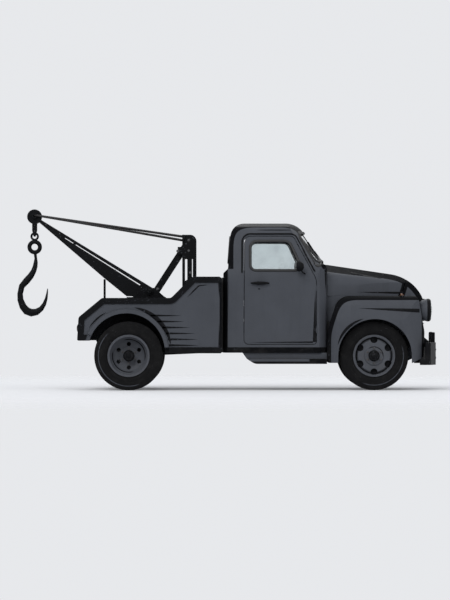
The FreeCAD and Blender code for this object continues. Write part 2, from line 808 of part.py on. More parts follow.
def make_rear_wheels():
    """Left pair of rear rims on one hub, centred between the tyres."""
    half = dual_spacing / 2
    under = rim_radius - rim_wall
    dish = [
        (0, 60, 0), (12, 60, 0), (12, 118, 12), (34, 190, 30), (half - 40, under + 4, 0),
        (half - 54, under + 4, 0), (22, 196, 30), (0, 124, 12),
    ]
    outer_disc = ring_about_y(dish, 0, 0)
    outer_disc = outer_disc.cut(fused(holes(27, 154, 6, 30, -5, 60)))
    inner_disc = outer_disc.mirror(V(0, 0, 0), V(0, 1, 0))
    barrels = [ring_about_y(make_barrel(), 0, 0, y) for y in (-half, half)]
    hub = ring_about_y([
        (-58, spindle_rear + running_fit, 0), (114, spindle_rear + running_fit, 0), (114, 4, 0),
        (134, 4, 0), (134, 40, 8), (120, hub_radius, 10), (-58, hub_radius, 0),
    ], 0, 0)
    pair = fused(barrels + [outer_disc, inner_disc, hub])
    pair.translate(V(0, dual_centre, wheel_z))
    return pair


# ---- wrecker body --------------------------------------------------------------------------------
toolbox_foot = toolbox_back - (toolbox_z - rail_z)     # the lid slopes at 45 degrees


def body_outline():
    return [
        (tail_x, tail_bottom, 20), (rear_arch_x, tail_bottom, 0), (rear_arch_x, body_bottom, 0),
        (body_front, body_bottom, 20), (body_front, toolbox_z, 40), (toolbox_back, toolbox_z, 60),
        (toolbox_foot, rail_z, 60), (tail_x + 323, rail_z, 60), (tail_x + 18, rail_z - 252, 60),
    ]


body_inner = 500


def make_body():
    arch_start = V(rear_arch_x, 300, rear_arch_z)
    arch = Part.makeCylinder(rear_arch_radius, 1200, arch_start, V(0, 1, 0))
    liner = Part.makeCylinder(rear_arch_radius + 20, 1200, arch_start, V(0, 1, 0))
    under = block(rear_arch_x - rear_arch_radius, rear_arch_x + rear_arch_radius,
                  300, 1500, 0, rear_arch_z)
    lip_outer = rear_arch_radius + lip_width
    box = prism(body_outline(), "xz", body_inner, body_half_width)
    room = prism(inset(body_outline(), body_skin), "xz", body_inner + 20, body_half_width - body_skin)
    well = block(rear_arch_x - rear_arch_radius - 20, rear_arch_x + rear_arch_radius + 20,
                 300, 1500, 0, rear_arch_z)
    room = room.cut(fused([liner, well]))
    side = box.cut(fused([arch, under])).cut(room)
    centre = V(rear_arch_x, body_half_width, rear_arch_z)
    lip = Part.makeCylinder(lip_outer, lip_proud, centre, V(0, 1, 0)).cut(arch)
    lip = lip.common(prism([
        (rear_arch_x, rear_arch_z, 0), (rear_arch_x + 700, rear_arch_z + 60, 0),
        (rear_arch_x + 700, rear_arch_z + 800, 0), (rear_arch_x - 700, rear_arch_z + 800, 0),
        (rear_arch_x - 700, rear_arch_z + 326, 0)], "xz", 900, 1100))
    side = fused([side, lip])
    band_face = body_half_width + band_proud
    whole = prism(body_outline(), "xz", body_half_width, band_face)
    core = prism(inset(body_outline(), rail_band), "xz", body_half_width - 1, band_face + 1)
    past_lip = lip_outer + 2
    clear = Part.makeCylinder(past_lip, 400, V(rear_arch_x, 900, rear_arch_z), V(0, 1, 0))
    low = block(rear_arch_x - past_lip, rear_arch_x + past_lip, 900, 1100, 0, rear_arch_z)
    upright = block(body_front - rail_band, body_front + 1,
                    900, 1100, body_bottom + rail_band, toolbox_z - rail_band)
    band = whole.cut(fused([core, clear, low, upright]))
    bands = band.Solids
    return side, bands


def make_deck():
    w = body_inner
    corners = [
        (tail_x, tail_bottom, 20), (body_front, tail_bottom, 0), (body_front, deck_z, 0),
        (tail_x + 323, deck_z, 60), (tail_x + 18, rail_z - 252, 60),
    ]
    ring = prism(corners, "xz", -w, w).cut(prism(inset(corners, deck_thickness), "xz", -w - 1, w + 1))
    ring = ring.cut(block(rail_tail, body_front + 1, -w - 1, w + 1, 0, rail_top))
    split = tail_x + 323
    tail = ring.common(block(tail_x - 10, split, -w - 1, w + 1, 0, 2000))
    deck = ring.common(block(split, body_front + 10, -w - 1, w + 1, 0, 2000))
    sills = [block(x, x + 60, -w, w, rail_top, deck_z - deck_thickness) for x in (-240, 330, 760)]
    return deck, tail, sills


# ---- crane ---------------------------------------------------------------------------------------
mast_back = mast_front - mast_depth
plate_in = mast_half_width - mast_plate


def make_mast():
    side = [
        (mast_back, deck_z, 0), (mast_front, deck_z, 0), (mast_front, mast_top, 80), (mast_back, mast_top, 0),
    ]
    head = mast_top - 318
    foot = deck_z + 70
    gaps = [rectangle(mast_back + 33, foot, mast_back + 66, head, 10),
            rectangle(mast_back + 126, foot, mast_back + 139, head, 5)]
    pieces = []
    for y in (plate_in, -mast_half_width):
        plate = prism(side, "xz", y, y + mast_plate)
        pieces.append(plate.cut(fused([prism(g, "xz", y - 1, y + mast_plate + 1) for g in gaps])))
    for z in (mast_top - 90, 1500):
        pieces.append(block(mast_back + 66, mast_back + 126, -plate_in, plate_in, z, z + 60))
    foot_y = mast_half_width + 30
    pieces.append(block(mast_back - 40, mast_front + 30, -foot_y, foot_y, deck_z, deck_z + 20))
    pin_half = cable_y + cable_radius + 3
    for y0, y1 in ((mast_half_width, pin_half), (-pin_half, -mast_half_width)):
        pieces.append(rod((cable_x, y0, cable_z[0]), (cable_x, y1, cable_z[0]), 12))
    return fused(pieces)


cable_x = mast_back + 14
cable_z = (mast_top - 22, mast_top - 72)
cable_y = mast_half_width + cable_radius + 3


def make_winch():
    x, z = mast_back + 96, 1370
    drum = rod((x, -150, z), (x, 150, z), 62)
    cheeks = [rod((x, y, z), (x, y + 14, z), 84) for y in (-164, 150)]
    axle = rod((x, -plate_in, z), (x, plate_in, z), 18)
    return fused([drum, axle] + cheeks)


boom_way = V(math.cos(math.radians(boom_angle)), 0, math.sin(math.radians(boom_angle)))
boom_up = V(boom_way.z, 0, -boom_way.x)
pivot = V(pivot_x, 0, pivot_z)
leg_thickness = 20
cheek_thickness = 10      # round plate over the sheave
leg_head = boom_half_head - leg_thickness / 2      # middle of a leg at the sheave
sheave_pin_half = leg_head + 28
yoke_plate = 7
yoke_y = leg_head - leg_thickness / 2 - yoke_plate - 4
boom_splay = math.degrees(math.atan2(boom_half_foot - leg_thickness / 2 - leg_head, boom_length))
boom_depth_head = 40
boom_depth_knee = 222
boom_depth_foot = 271
knee_s = 595
foot_s = 220


def boom_point(s, t):
    """World x, z of a point s along the boom and t above its centreline."""
    p = pivot + boom_way * s + boom_up * t
    return p.x, p.z


def boom_top_at(s):
    return 59 - 47 * s / (boom_length - 80)


def leg_y(s):
    """Middle of the left leg at s."""
    return leg_head + (boom_length - s) * math.tan(math.radians(boom_splay))


def make_boom():
    end = boom_length - 80
    corners = [
        (0, boom_top_at(0), 0), (-52, boom_top_at(0) - 10, 30), (-52, -52, 40),
        (foot_s, boom_top_at(foot_s) - boom_depth_foot, 12),
        (knee_s, boom_top_at(knee_s) - boom_depth_knee, 200), (end, boom_top_at(end) - boom_depth_head, 0),
        (boom_length + 34, -32, 26), (boom_length + 34, 32, 26), (end, boom_top_at(end), 0),
    ]
    leg_outline = [boom_point(s, t) + (r,) for s, t, r in corners]
    chord = 45
    slit = [(150, boom_top_at(150) - chord), (1330, boom_top_at(1330) - chord * 0.8),
            (1330, boom_top_at(1330) - chord * 0.8 - 9), (150, boom_top_at(150) - chord - 14)]
    slit_outline = [boom_point(s, t) + (0,) for s, t in slit]
    half = leg_thickness / 2
    leg = prism(leg_outline, "xz", -half, half)
    leg = leg.cut(prism(slit_outline, "xz", -half - 1, half + 1))
    cheek = rod((sheave_x, half, sheave_z), (sheave_x, half + cheek_thickness, sheave_z), sheave_radius)
    leg = fused([leg, cheek])
    head = pivot + boom_way * boom_length
    leg.rotate(head, boom_up, boom_splay)
    leg.translate(V(0, leg_head, 0))
    bores = fused([
        rod((pivot_x, -400, pivot_z), (pivot_x, 400, pivot_z), pivot_radius + running_fit),
        rod((sheave_x, -400, sheave_z), (sheave_x, 400, sheave_z), 16 + running_fit)])
    pieces = [leg, mirrored(leg)]
    for s, t, r in ((foot_s + 60, -100, 24), (knee_s + 60, -60, 24), (1180, -16, 16), (1520, -6, 12)):
        x, z = boom_point(s, t)
        y = leg_y(s)
        pieces.append(rod((x, -y, z), (x, y, z), r))
    return fused(pieces).cut(bores)


def make_sheave():
    half = yoke_y - fit_gap
    wheel = ring_about_y([
        (-half, 16, 0), (half, 16, 0), (half, sheave_radius - 6, 3), (half - 5, sheave_radius - 6, 3),
        (4, sheave_radius - 24, 3), (-4, sheave_radius - 24, 3), (-half + 5, sheave_radius - 6, 3),
        (-half, sheave_radius - 6, 3),
    ], sheave_x, sheave_z)
    pin = rod((sheave_x, -sheave_pin_half, sheave_z), (sheave_x, sheave_pin_half, sheave_z), 16)
    return fused([wheel, pin])


def make_bracket():
    top = deck_z + 28
    ear_in = boom_half_foot + 8
    base = block(pivot_x - 304, pivot_x + 212, -ear_in - 25, ear_in + 25, deck_z, top)
    ear = [
        (pivot_x - 230, top - 1, 0), (pivot_x + 200, top - 1, 0), (pivot_x + 150, top + 40, 20),
        (pivot_x + 60, pivot_z + 50, 50), (pivot_x - 60, pivot_z + 50, 50),
    ]
    pieces = [base]
    for y in (ear_in, -ear_in - 25):
        pieces.append(prism(ear, "xz", y, y + 25))
    pieces.append(rod((pivot_x, -ear_in - 40, pivot_z), (pivot_x, ear_in + 40, pivot_z), pivot_radius))
    return fused(pieces)


def make_braces(mast):
    top = (mast_back + 7, 1842)
    foot = (pivot_x + 86, 1298)
    lean = (top[0] - foot[0]) / (top[1] - foot[1])
    base = deck_z + 28
    y0 = boom_half_foot + 8
    low = (foot[0] - (foot[1] - base + 60) * lean, base - 60)
    high = (top[0] + 60 * lean, top[1] + 60)
    bar = beam((low[0], y0 + 12, low[1]), (high[0], y0 + 12, high[1]), (24, 86), (24, 86))
    bar = bar.common(block(-500, mast_back, 0, 500, base, 2000))
    left = bar.cut(make_bracket())
    strut = fused([largest(left), block(mast_back - 60, mast_back, y0, plate_in + 40, 1780, 1880)])
    return [strut, mirrored(strut)]


def make_rest():
    s = knee_s - 8
    x, z = boom_point(s, boom_top_at(s) - boom_depth_knee)
    drop = boom_up * -(rest_radius + 8)
    x, z = x + drop.x, z + drop.z
    y = leg_y(s) + 60
    bar = rod((x, -y, z), (x, y, z), rest_radius)
    posts = [rod((x, q, deck_z), (x, q, z), rest_radius) for q in (-y, y)]
    feet = [rod((x, q, deck_z), (x, q, deck_z + 10), 30) for q in (-y, y)]
    return fused([bar] + posts + feet)


def make_stays():
    """Two stays a side, apart on the mast and together in an end fitting beside the sheave pin."""
    boss_y = sheave_pin_half + 1.8
    x1, z1 = sheave_x, sheave_z + 22
    stays = [rod((cable_x, cable_y, z), (x1, boss_y + cable_radius, z1), cable_radius) for z in cable_z]
    eye = rod((cable_x, mast_half_width + 1, cable_z[0]), (cable_x, cable_y + cable_radius, cable_z[0]), 24)
    link = rod((cable_x, cable_y, cable_z[0]), (cable_x, cable_y, cable_z[1]), 10)
    end = rod((x1, boss_y, sheave_z + 8), (x1, boss_y + 2 * cable_radius, sheave_z + 8), 36)
    pin = rod((cable_x, 0, cable_z[0]), (cable_x, 500, cable_z[0]), 12 + running_fit)
    left = fused(stays + [eye, link, end]).cut(pin)
    return [left, mirrored(left)]


# ---- hook ----------------------------------------------------------------------------------------
eye_z = sheave_z - 401
ring_z = eye_z + eye_outer + ring_outer - 14
bend_z = eye_z - 653


def make_yoke():
    pin_z = ring_z + ring_outer - 28 - 9
    arm = [
        (sheave_x - 14, pin_z - 22, 12), (sheave_x + 14, pin_z - 22, 12), (sheave_x + 33, pin_z + 60, 20),
        (sheave_x + 33, sheave_z + 33, 32), (sheave_x - 33, sheave_z + 33, 32),
        (sheave_x - 33, pin_z + 60, 20),
    ]
    y, t = yoke_y, yoke_plate
    pieces = [prism(arm, "xz", y, y + t), prism(arm, "xz", -y - t, -y)]
    pieces.append(rod((sheave_x, -y - t, pin_z), (sheave_x, y + t, pin_z), 8))
    bore = rod((sheave_x, -100, sheave_z), (sheave_x, 100, sheave_z), 16 + running_fit)
    return fused(pieces).cut(bore)


def make_hook():
    torus_way = V(0, 1, 0)
    hole = eye_hole
    eye = Part.makeTorus((eye_outer + hole) / 2, (eye_outer - hole) / 2, V(sheave_x, 0, eye_z), torus_way)
    ring = Part.makeTorus(ring_outer - 14, 14, V(sheave_x, 0, ring_z), torus_way)
    # distance from the bend's centre, angle and thickness of the forged section
    path = [
        (sheave_x + 4, eye_z - eye_outer + 30, 20), (sheave_x + 15, eye_z - 150, 18),
        (sheave_x + 14, eye_z - 200, 27), (sheave_x + 6, eye_z - 258, 32), (sheave_x - 14, eye_z - 318, 36),
        (sheave_x - 52, eye_z - 382, 42),
    ]
    polar = [
        (235, 116, 46), (217, 142, 40), (196, 170, 37), (194, 194, 41), (205, 221, 48), (220, 241, 53),
        (221, 259, 52), (208, 277, 45), (185, 298, 34), (163, 322, 26), (156, 350, 18), (173, 376, 11),
        (200, 391, 5),
    ]
    for r, a, thick in polar:
        a = math.radians(a)
        path.append((sheave_x + r * math.cos(a), bend_z + r * math.sin(a), thick))
    wires = []
    for i, (x, z, r) in enumerate(path):
        a, b = path[max(i - 1, 0)], path[min(i + 1, len(path) - 1)]
        way = V(b[0] - a[0], 0, b[1] - a[1])
        circle = Part.Circle(V(x, 0, z), way.normalize(), r)
        wires.append(Part.Wire(circle.toShape()))
    shank = Part.makeLoft(wires, True, True)
    return fused([eye, ring, shank])


# ---- write the pieces ----------------------------------------------------------------------------
def build():
    nodes = {}

    def pair(name, left):
        nodes["left_" + name] = left
        nodes["right_" + name] = mirrored(left)

    cab, glass, doors, floor, dash, room = make_cab()
    nodes["cab_shell"] = cab
    nodes["cab_glass"] = glass
    nodes["cab_floor"] = floor
    nodes["dashboard"] = dash
    nodes["bench_seat"] = make_seat()
    nodes["steering_column"] = make_column(room)
    nodes["steering_wheel"] = make_steering_wheel()
    for side, name in ((1, "left"), (-1, "right")):
        nodes[name + "_door"], nodes[name + "_door_glass"] = doors[side]
    pair("mirror", make_mirror())

    bonnet, nose, clip = make_clip()
    wing, wing_outer = make_wing(clip)
    nodes["hood"] = bonnet
    nodes["nose_panel"] = nose
    pair("front_fender", wing)
    nodes["headlights"] = make_lamps(wing_outer)
    nodes["front_bumper"] = make_bumper()
    boards, panels = make_boards()
    nodes["running_boards"] = boards
    nodes["splash_panels"] = panels

    rails, cross = make_frame()
    nodes["frame_rails"] = rails
    nodes["frame_crossmembers"] = cross
    nodes["engine"] = make_engine()
    nodes["radiator"] = make_radiator()
    nodes["exhaust"] = make_exhaust()
    nodes["drive_shaft"] = make_shaft()
    nodes["rear_axle"] = make_rear_axle()
    nodes["front_axle"] = make_front_axle()
    nodes["leaf_springs"] = make_springs()
    pair("steering_knuckle", make_knuckle())
    nodes["tie_rod"] = make_tie_rod()
    pair("front_rim", make_front_wheel())
    pair("front_tyre", make_tyre(wheelbase, front_track / 2))
    pair("rear_rims", make_rear_wheels())
    duals = [make_tyre(0, dual_centre + s * dual_spacing / 2) for s in (-1, 1)]
    nodes["left_rear_tyres"] = duals
    nodes["right_rear_tyres"] = [mirrored(t) for t in duals]

    side, bands = make_body()
    pair("body_side", side)
    nodes["body_side_rails"] = bands + [mirrored(b) for b in bands]
    deck, tail, sills = make_deck()
    nodes["deck"] = deck
    nodes["tail_panel"] = tail
    nodes["deck_sills"] = sills

    mast = make_mast()
    nodes["mast"] = mast
    nodes["mast_braces"] = make_braces(mast)
    nodes["winch"] = make_winch()
    nodes["boom_bracket"] = make_bracket()
    nodes["boom"] = make_boom()
    nodes["boom_sheave"] = make_sheave()
    nodes["boom_rest"] = make_rest()
    nodes["stay_cables"] = make_stays()
    nodes["hook_yoke"] = make_yoke()
    nodes["hook"] = make_hook()
    return nodes


def export(nodes):
    os.makedirs("parts", exist_ok=True)
    shift = V(-middle_x, 0, 0)
    for name, shape in nodes.items():
        solids = []
        for piece in (shape if isinstance(shape, list) else [shape]):
            solids += piece.Solids
        made = solids[0].copy() if len(solids) == 1 else Part.makeCompound(solids)
        made.translate(shift)
        made.exportStep("parts/" + name + ".step")


export(build())
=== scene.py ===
"""Looks of the tow truck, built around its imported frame. Metres; X forward, Y to the truck's left, Z up."""
import json
from math import cos, exp, pi, radians, sin, sqrt

import bmesh
import bpy
from mathutils import Matrix, Vector
from mathutils.bvhtree import BVHTree
from mathutils.geometry import convex_hull_2d


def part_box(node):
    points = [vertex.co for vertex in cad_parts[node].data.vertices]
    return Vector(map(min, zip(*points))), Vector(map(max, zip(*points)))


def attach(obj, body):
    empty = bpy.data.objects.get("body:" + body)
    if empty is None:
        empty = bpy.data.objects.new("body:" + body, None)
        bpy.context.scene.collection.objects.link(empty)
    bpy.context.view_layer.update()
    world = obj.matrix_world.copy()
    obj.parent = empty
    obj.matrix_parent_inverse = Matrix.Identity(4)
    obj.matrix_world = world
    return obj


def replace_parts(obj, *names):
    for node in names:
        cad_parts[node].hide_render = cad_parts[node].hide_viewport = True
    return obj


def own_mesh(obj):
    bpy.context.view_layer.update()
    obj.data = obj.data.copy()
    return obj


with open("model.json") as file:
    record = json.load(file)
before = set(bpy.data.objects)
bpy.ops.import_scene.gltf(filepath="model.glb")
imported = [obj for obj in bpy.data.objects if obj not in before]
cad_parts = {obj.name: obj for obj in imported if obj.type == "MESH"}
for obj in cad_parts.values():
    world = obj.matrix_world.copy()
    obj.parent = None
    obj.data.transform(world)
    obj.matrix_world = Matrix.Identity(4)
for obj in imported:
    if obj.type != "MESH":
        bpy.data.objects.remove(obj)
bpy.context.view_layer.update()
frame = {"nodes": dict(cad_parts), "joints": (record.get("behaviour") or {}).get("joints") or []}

nodes = frame["nodes"]
joints = {j["name"]: j for j in frame["joints"]}
scene = bpy.context.scene
SIDES = {"left": 1, "right": -1}
FORE, ACROSS, UP = Vector((1, 0, 0)), Vector((0, 1, 0)), Vector((0, 0, 1))
AFT, DOWN = (-1, 0, 0), (0, 0, -1)
FAR = 3.0                # rays that look for a surface start this far out


def pin(joint):
    return Vector(joints[joint]["pos_m"])


# ---- places worked out from the frame ----
cab_low, cab_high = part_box("cab_shell")
glass_low, glass_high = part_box("cab_glass")
hood_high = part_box("hood")[1]
nose_low, nose_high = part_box("nose_panel")
wing_low, wing_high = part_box("left_front_fender")
body_low, body_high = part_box("left_body_side")
deck_low, deck_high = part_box("deck")
mast_low, mast_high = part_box("mast")
lamp_low, lamp_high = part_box("headlights")
board_low, board_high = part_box("running_boards")
front_axle_at, rear_axle_at = pin("left_front_spin"), pin("left_rear_spin")
hood_hinge, boom_pivot = pin("hood_lift"), pin("boom_luff")
tyre_radius = front_axle_at.z
cab_middle_x = (cab_low.x + cab_high.x) / 2
COWL_Z = hood_high.z
BELT_Z = glass_low.z - 0.1
SILL_TOP = body_low.z + 0.078
REAR_ARCH = Vector((rear_axle_at.x - 0.029, 0, rear_axle_at.z + 0.053))
SEAT_TOP = 1.14

SLATE = (0.060, 0.065, 0.076)
BLACK = (0.0032, 0.0034, 0.004)
RIM_SLATE = (0.074, 0.079, 0.091)
PRIMER = (0.17, 0.18, 0.2)
DUST = (0.075, 0.073, 0.070)


def shade(colour, factor, lift=0.0):
    return tuple(factor * c + lift for c in colour)


# ---- materials ----
class Field:
    """One value in a node tree, with the arithmetic that masks are made of; | takes the greater."""

    def __init__(self, owner, socket):
        self.owner, self.socket = owner, socket

    def __rsub__(self, other):
        return self.owner.math("SUBTRACT", other, self)

    def __abs__(self):
        return self.owner.math("ABSOLUTE", self)


for sign, operation in (("add", "ADD"), ("sub", "SUBTRACT"), ("mul", "MULTIPLY"), ("or", "MAXIMUM")):
    setattr(Field, f"__{sign}__", lambda a, b, operation=operation: a.owner.math(operation, a, b))


class Tree:
    """A node tree, with short calls that add nodes and join them."""

    def __init__(self, tree):
        self.tree = tree

    def add(self, kind, settings=None, **inputs):
        node = self.tree.nodes.new(kind)
        for key, value in (settings or {}).items():
            setattr(node, key, value)
        for key, value in inputs.items():
            self.feed(node.inputs[key.replace("_", " ")], value)
        return node

    def feed(self, socket, value):
        value = getattr(value, "socket", value)
        if isinstance(value, bpy.types.NodeSocket):
            self.tree.links.new(value, socket)
        elif isinstance(value, tuple) and len(value) == 3 and socket.type == "RGBA":
            socket.default_value = (*value, 1)
        else:
            socket.default_value = value

    def fill(self, node, *values, at=None):
        """Feed the node's inputs in their order, or at those numbers, and return its first output."""
        for index, value in zip(at or range(len(values)), values):
            self.feed(node.inputs[index], value)
        return Field(self, node.outputs[0])

    def math(self, operation, *values):
        return self.fill(self.add("ShaderNodeMath", {"operation": operation}), *values)

    def seen(self):
        """1 for rays from the camera, off a gloss and through glass."""
        rays = self.add("ShaderNodeLightPath").outputs
        camera, gloss, glass = (Field(self, rays[f"Is {kind} Ray"]) for kind in ("Camera", "Glossy", "Transmission"))
        return camera | gloss | glass


class Paint(Tree):
    """One material, with short calls for the nodes that every finish uses."""

    def __init__(self, name):
        self.material = bpy.data.materials.new(name)
        self.material.use_nodes = True
        super().__init__(self.material.node_tree)
        self.shader = self.tree.nodes["Principled BSDF"]
        self.place = self.add("ShaderNodeTexCoord").outputs["Object"]
        split = self.add("ShaderNodeSeparateXYZ", Vector=self.place)
        self.x, self.y, self.z = (Field(self, socket) for socket in split.outputs)

    def step(self, value, low, high):
        """0 below low, 1 above high, smooth between; low may be above high."""
        node = self.add("ShaderNodeMapRange", {"interpolation_type": "SMOOTHSTEP"})
        flip = low > high
        return self.fill(node, value, min(low, high), max(low, high), float(flip), float(not flip))

    def noise(self, scale, detail=3.0, stretch=None):
        where = self.place
        if stretch:
            where = self.add("ShaderNodeMapping", Vector=where, Scale=stretch).outputs[0]
        node = self.add("ShaderNodeTexNoise", Vector=where, Scale=scale, Detail=detail, Roughness=0.55)
        return Field(self, node.outputs[0])

    def patch(self, scale, detail, low, high):
        """Noise cut to patches: 0 below low, 1 above high."""
        return self.step(self.noise(scale, detail), low, high)

    def mix(self, factor, a, b):
        node = self.add("ShaderNodeMix", {"data_type": "RGBA"})
        self.fill(node, factor, a, b, at=(0, 6, 7))
        return Field(self, node.outputs[2])

    def blend(self, factor, a, b):
        node = self.add("ShaderNodeMix", {"data_type": "FLOAT"})
        return self.fill(node, factor, a, b, at=(0, 2, 3))

    def edges(self, radius):
        """1 on convex and concave edges, from a rounded normal against the flat one."""
        rounded = self.add("ShaderNodeBevel", {"samples": 4}, Radius=radius).outputs[0]
        flat = self.add("ShaderNodeNewGeometry").outputs["Normal"]
        dot = self.add("ShaderNodeVectorMath", {"operation": "DOT_PRODUCT"})
        self.fill(dot, rounded, flat)
        return 1.0 - Field(self, dot.outputs["Value"]), rounded

    def finish(self, colour, roughness, height, strength, distance, normal=None, **inputs):
        """Feed the shader, with relief under the light, and return the finished material."""
        bump = self.add("ShaderNodeBump", Height=height, Strength=strength, Distance=distance)
        if normal:
            self.feed(bump.inputs["Normal"], normal)
        inputs.update(Base_Color=colour, Roughness=roughness, Normal=bump.outputs[0])
        for key, value in inputs.items():
            self.feed(self.shader.inputs[key.replace("_", " ")], value)
        return self.material


def worn_paint(name, base, black=None, wear=0.5, gloss=0.46):
    """Old satin paint: faded patches, chips down to primer along edges, dust low down, orange peel.
    black(p) gives the mask of the black second colour; on the rims that mask also holds painted shade."""
    p = Paint(name)
    fade, fine = p.noise(2.3, 4), p.noise(38, 5)
    cloud = p.patch(5.5, 5, 0.42, 0.7)
    colour = p.mix(fade, shade(base, 0.82), shade(base, 1.2))
    streak = p.step(p.noise(9, 3, (1.0, 1.0, 0.12)), 0.5, 0.75)
    colour = p.mix(streak * 0.22, colour, shade(base, 0.55))
    gleam = 0.12
    if black:
        mask = black(p)
        colour = p.mix(mask, colour, p.mix(fade, BLACK, shade(BLACK, 1.9)))
        colour = p.mix(mask * p.step(fine, 0.635, 0.69) * cloud, colour, SLATE)
        gleam = p.blend(mask, 0.12, 0.02)
    edge, rounded = p.edges(0.006)
    scuff = p.step(edge, 0.02, 0.16) * p.step(fine, 0.6 - 0.16 * wear, 0.68)
    bare = scuff | p.patch(95, 3, 0.67, 0.72) * cloud * 0.8
    colour = p.mix(bare, colour, shade(PRIMER, 0.55, 0.02))
    low = p.step(p.z, 0.9, 0.3) * p.patch(7, 5, 0.4, 0.8) * 0.3
    sheen = p.blend(bare | low, p.blend(p.noise(14, 4), gloss - 0.07, gloss + 0.13), 0.75)
    relief = p.noise(3.1, 2) * 1.4 + p.noise(210, 2) * 0.02 - bare * 0.08
    return p.finish(p.mix(low, colour, DUST), sheen, relief, 0.35, 0.006, rounded, Specular_IOR_Level=gleam)


def black_paint(name, base=BLACK, gloss=0.45, chips=1.0):
    """Satin black enamel with slate showing where it has rubbed through."""
    p = Paint(name)
    colour = p.mix(p.noise(3, 4), base, shade(base, 2.0))
    edge, rounded = p.edges(0.005)
    speck = p.patch(46, 5, 0.65 - 0.05 * chips, 0.69) * p.patch(6.5, 4, 0.48, 0.7)
    worn = speck * 0.9 | p.step(edge, 0.03, 0.2) * p.patch(30, 4, 0.46, 0.62) * 0.75
    colour = p.mix(worn, colour, shade(SLATE, 1.5))
    low = p.step(p.z, 0.8, 0.25) * p.patch(8, 5, 0.45, 0.85) * 0.2
    sheen = p.blend(worn, p.blend(p.noise(17, 3), gloss - 0.08, gloss + 0.14), 0.7)
    relief = p.noise(160, 2) - worn
    return p.finish(p.mix(low, colour, DUST), sheen, relief, 0.25, 0.0012, rounded, Specular_IOR_Level=0.06)


def metal(name, colour, roughness, rust=0.0, metallic=1.0, grain=220.0):
    p = Paint(name)
    patch = p.patch(9, 6, 0.5, 0.72)
    tone = p.mix(p.noise(24, 5), shade(colour, 0.7), shade(colour, 1.15))
    if rust:
        tone = p.mix(patch * rust, tone, (0.11, 0.045, 0.022))
    sheen = p.blend(patch * 0.6 | p.noise(55, 4) * 0.5, roughness, roughness + 0.3)
    return p.finish(tone, sheen, p.noise(grain, 3), 0.2, 0.001, Metallic=metallic)


def tyre_rubber():
    """Old rubber: near black, dust in the grooves and a greyer scuffed tread, and painted highlights as paler arcs
    along the sidewalls.
    """
    p = Paint("tyre_rubber")
    colour = p.mix(p.noise(5, 4), (0.0045, 0.0045, 0.005), (0.010, 0.010, 0.0105))
    speck = p.patch(70, 4, 0.66, 0.7) * p.patch(10, 3, 0.5, 0.65) * 0.75
    colour = p.mix(speck, colour, (0.12, 0.125, 0.135))
    colour = p.mix(p.patch(12, 6, 0.44, 0.72) * 0.3, colour, (0.020, 0.0195, 0.019))
    # painted highlight: paler arcs along the sidewalls, broken up by noise
    colour = p.mix(tyre_highlight_arcs(p) * p.patch(40, 3, 0.25, 0.45), colour, SLATE)
    sheen = p.blend(p.noise(30, 4), 0.6, 0.85)
    return p.finish(colour, sheen, p.noise(180, 4), 0.3, 0.0012, Specular_IOR_Level=0.06)


def plain_coat(name, colour, roughness=0.5, scale=60.0):
    """Moulded rubber, plastic or vinyl: a little mottle and a fine grain."""
    p = Paint(name)
    tone = p.mix(p.noise(11, 5), shade(colour, 0.75), shade(colour, 1.3))
    sheen = p.blend(p.noise(26, 4), roughness - 0.1, roughness + 0.15)
    return p.finish(tone, sheen, p.noise(scale * 6, 3), 0.3, 0.0006)


def pane(name="window_glass", tint=(0.78, 0.83, 0.84), film=0.10):
    """Clear old glass, faintly green, with a film of dust in patches."""
    p = Paint(name)
    dusty = p.patch(6, 5, 0.35, 0.8) * film
    return p.finish(tint, p.blend(dusty, 0.01, 0.25), p.noise(2.2, 2), 0.04, 0.002, IOR=1.45,
                    Transmission_Weight=1.0 - dusty)


def vinyl():
    """Black vinyl: fine leather grain, worn shiny and paler where it is sat on."""
    p = Paint("seat_vinyl")
    tone = p.mix(p.noise(5, 4), (0.012, 0.0115, 0.011), (0.028, 0.026, 0.025))
    worn = p.patch(7, 5, 0.45, 0.75) * 0.5
    cells = p.add("ShaderNodeTexVoronoi", {"feature": "DISTANCE_TO_EDGE"}, Vector=p.place, Scale=420.0)
    relief = p.step(cells.outputs["Distance"], 0.0, 0.12) + p.noise(30, 3) * 0.6
    return p.finish(p.mix(worn, tone, (0.055, 0.051, 0.048)), p.blend(worn, 0.52, 0.38), relief, 0.35, 0.0008,
                    Specular_IOR_Level=0.2)


# ---- shapes: each is (vertices, faces) ----
def mm(*numbers):
    """Points in metres from their two coordinates in millimetres, one after the other."""
    return [(a / 1000, b / 1000) for a, b in zip(numbers[::2], numbers[1::2])]


def round_at(i, count, radius=1.0, turn=0.0):
    """Point i of count round a circle."""
    a = 2 * pi * (i + turn) / count
    return radius * cos(a), radius * sin(a)


def grid_faces(rows, columns, wrap_rows=False, wrap_columns=True):
    return [(i * columns + j, i * columns + (j + 1) % columns,
             (i + 1) % rows * columns + (j + 1) % columns, (i + 1) % rows * columns + j)
            for i in range(rows if wrap_rows else rows - 1)
            for j in range(columns if wrap_columns else columns - 1)]


def tube(verts, n, closed=False):
    """Rings of n vertices joined into a tube, closed on itself or with flat ends."""
    faces = grid_faces(len(verts) // n, n, wrap_rows=closed)
    if not closed:
        faces += [tuple(range(n)), tuple(reversed(range(len(verts) - n, len(verts))))]
    return verts, faces


def lathe(profile, turns=48, closed=False):
    """Solid of revolution about Z: profile is (radius, height) points; end points on the axis close it."""
    return tube([(*round_at(j, turns, max(r, 1e-5)), z) for r, z in profile for j in range(turns)], turns, closed)


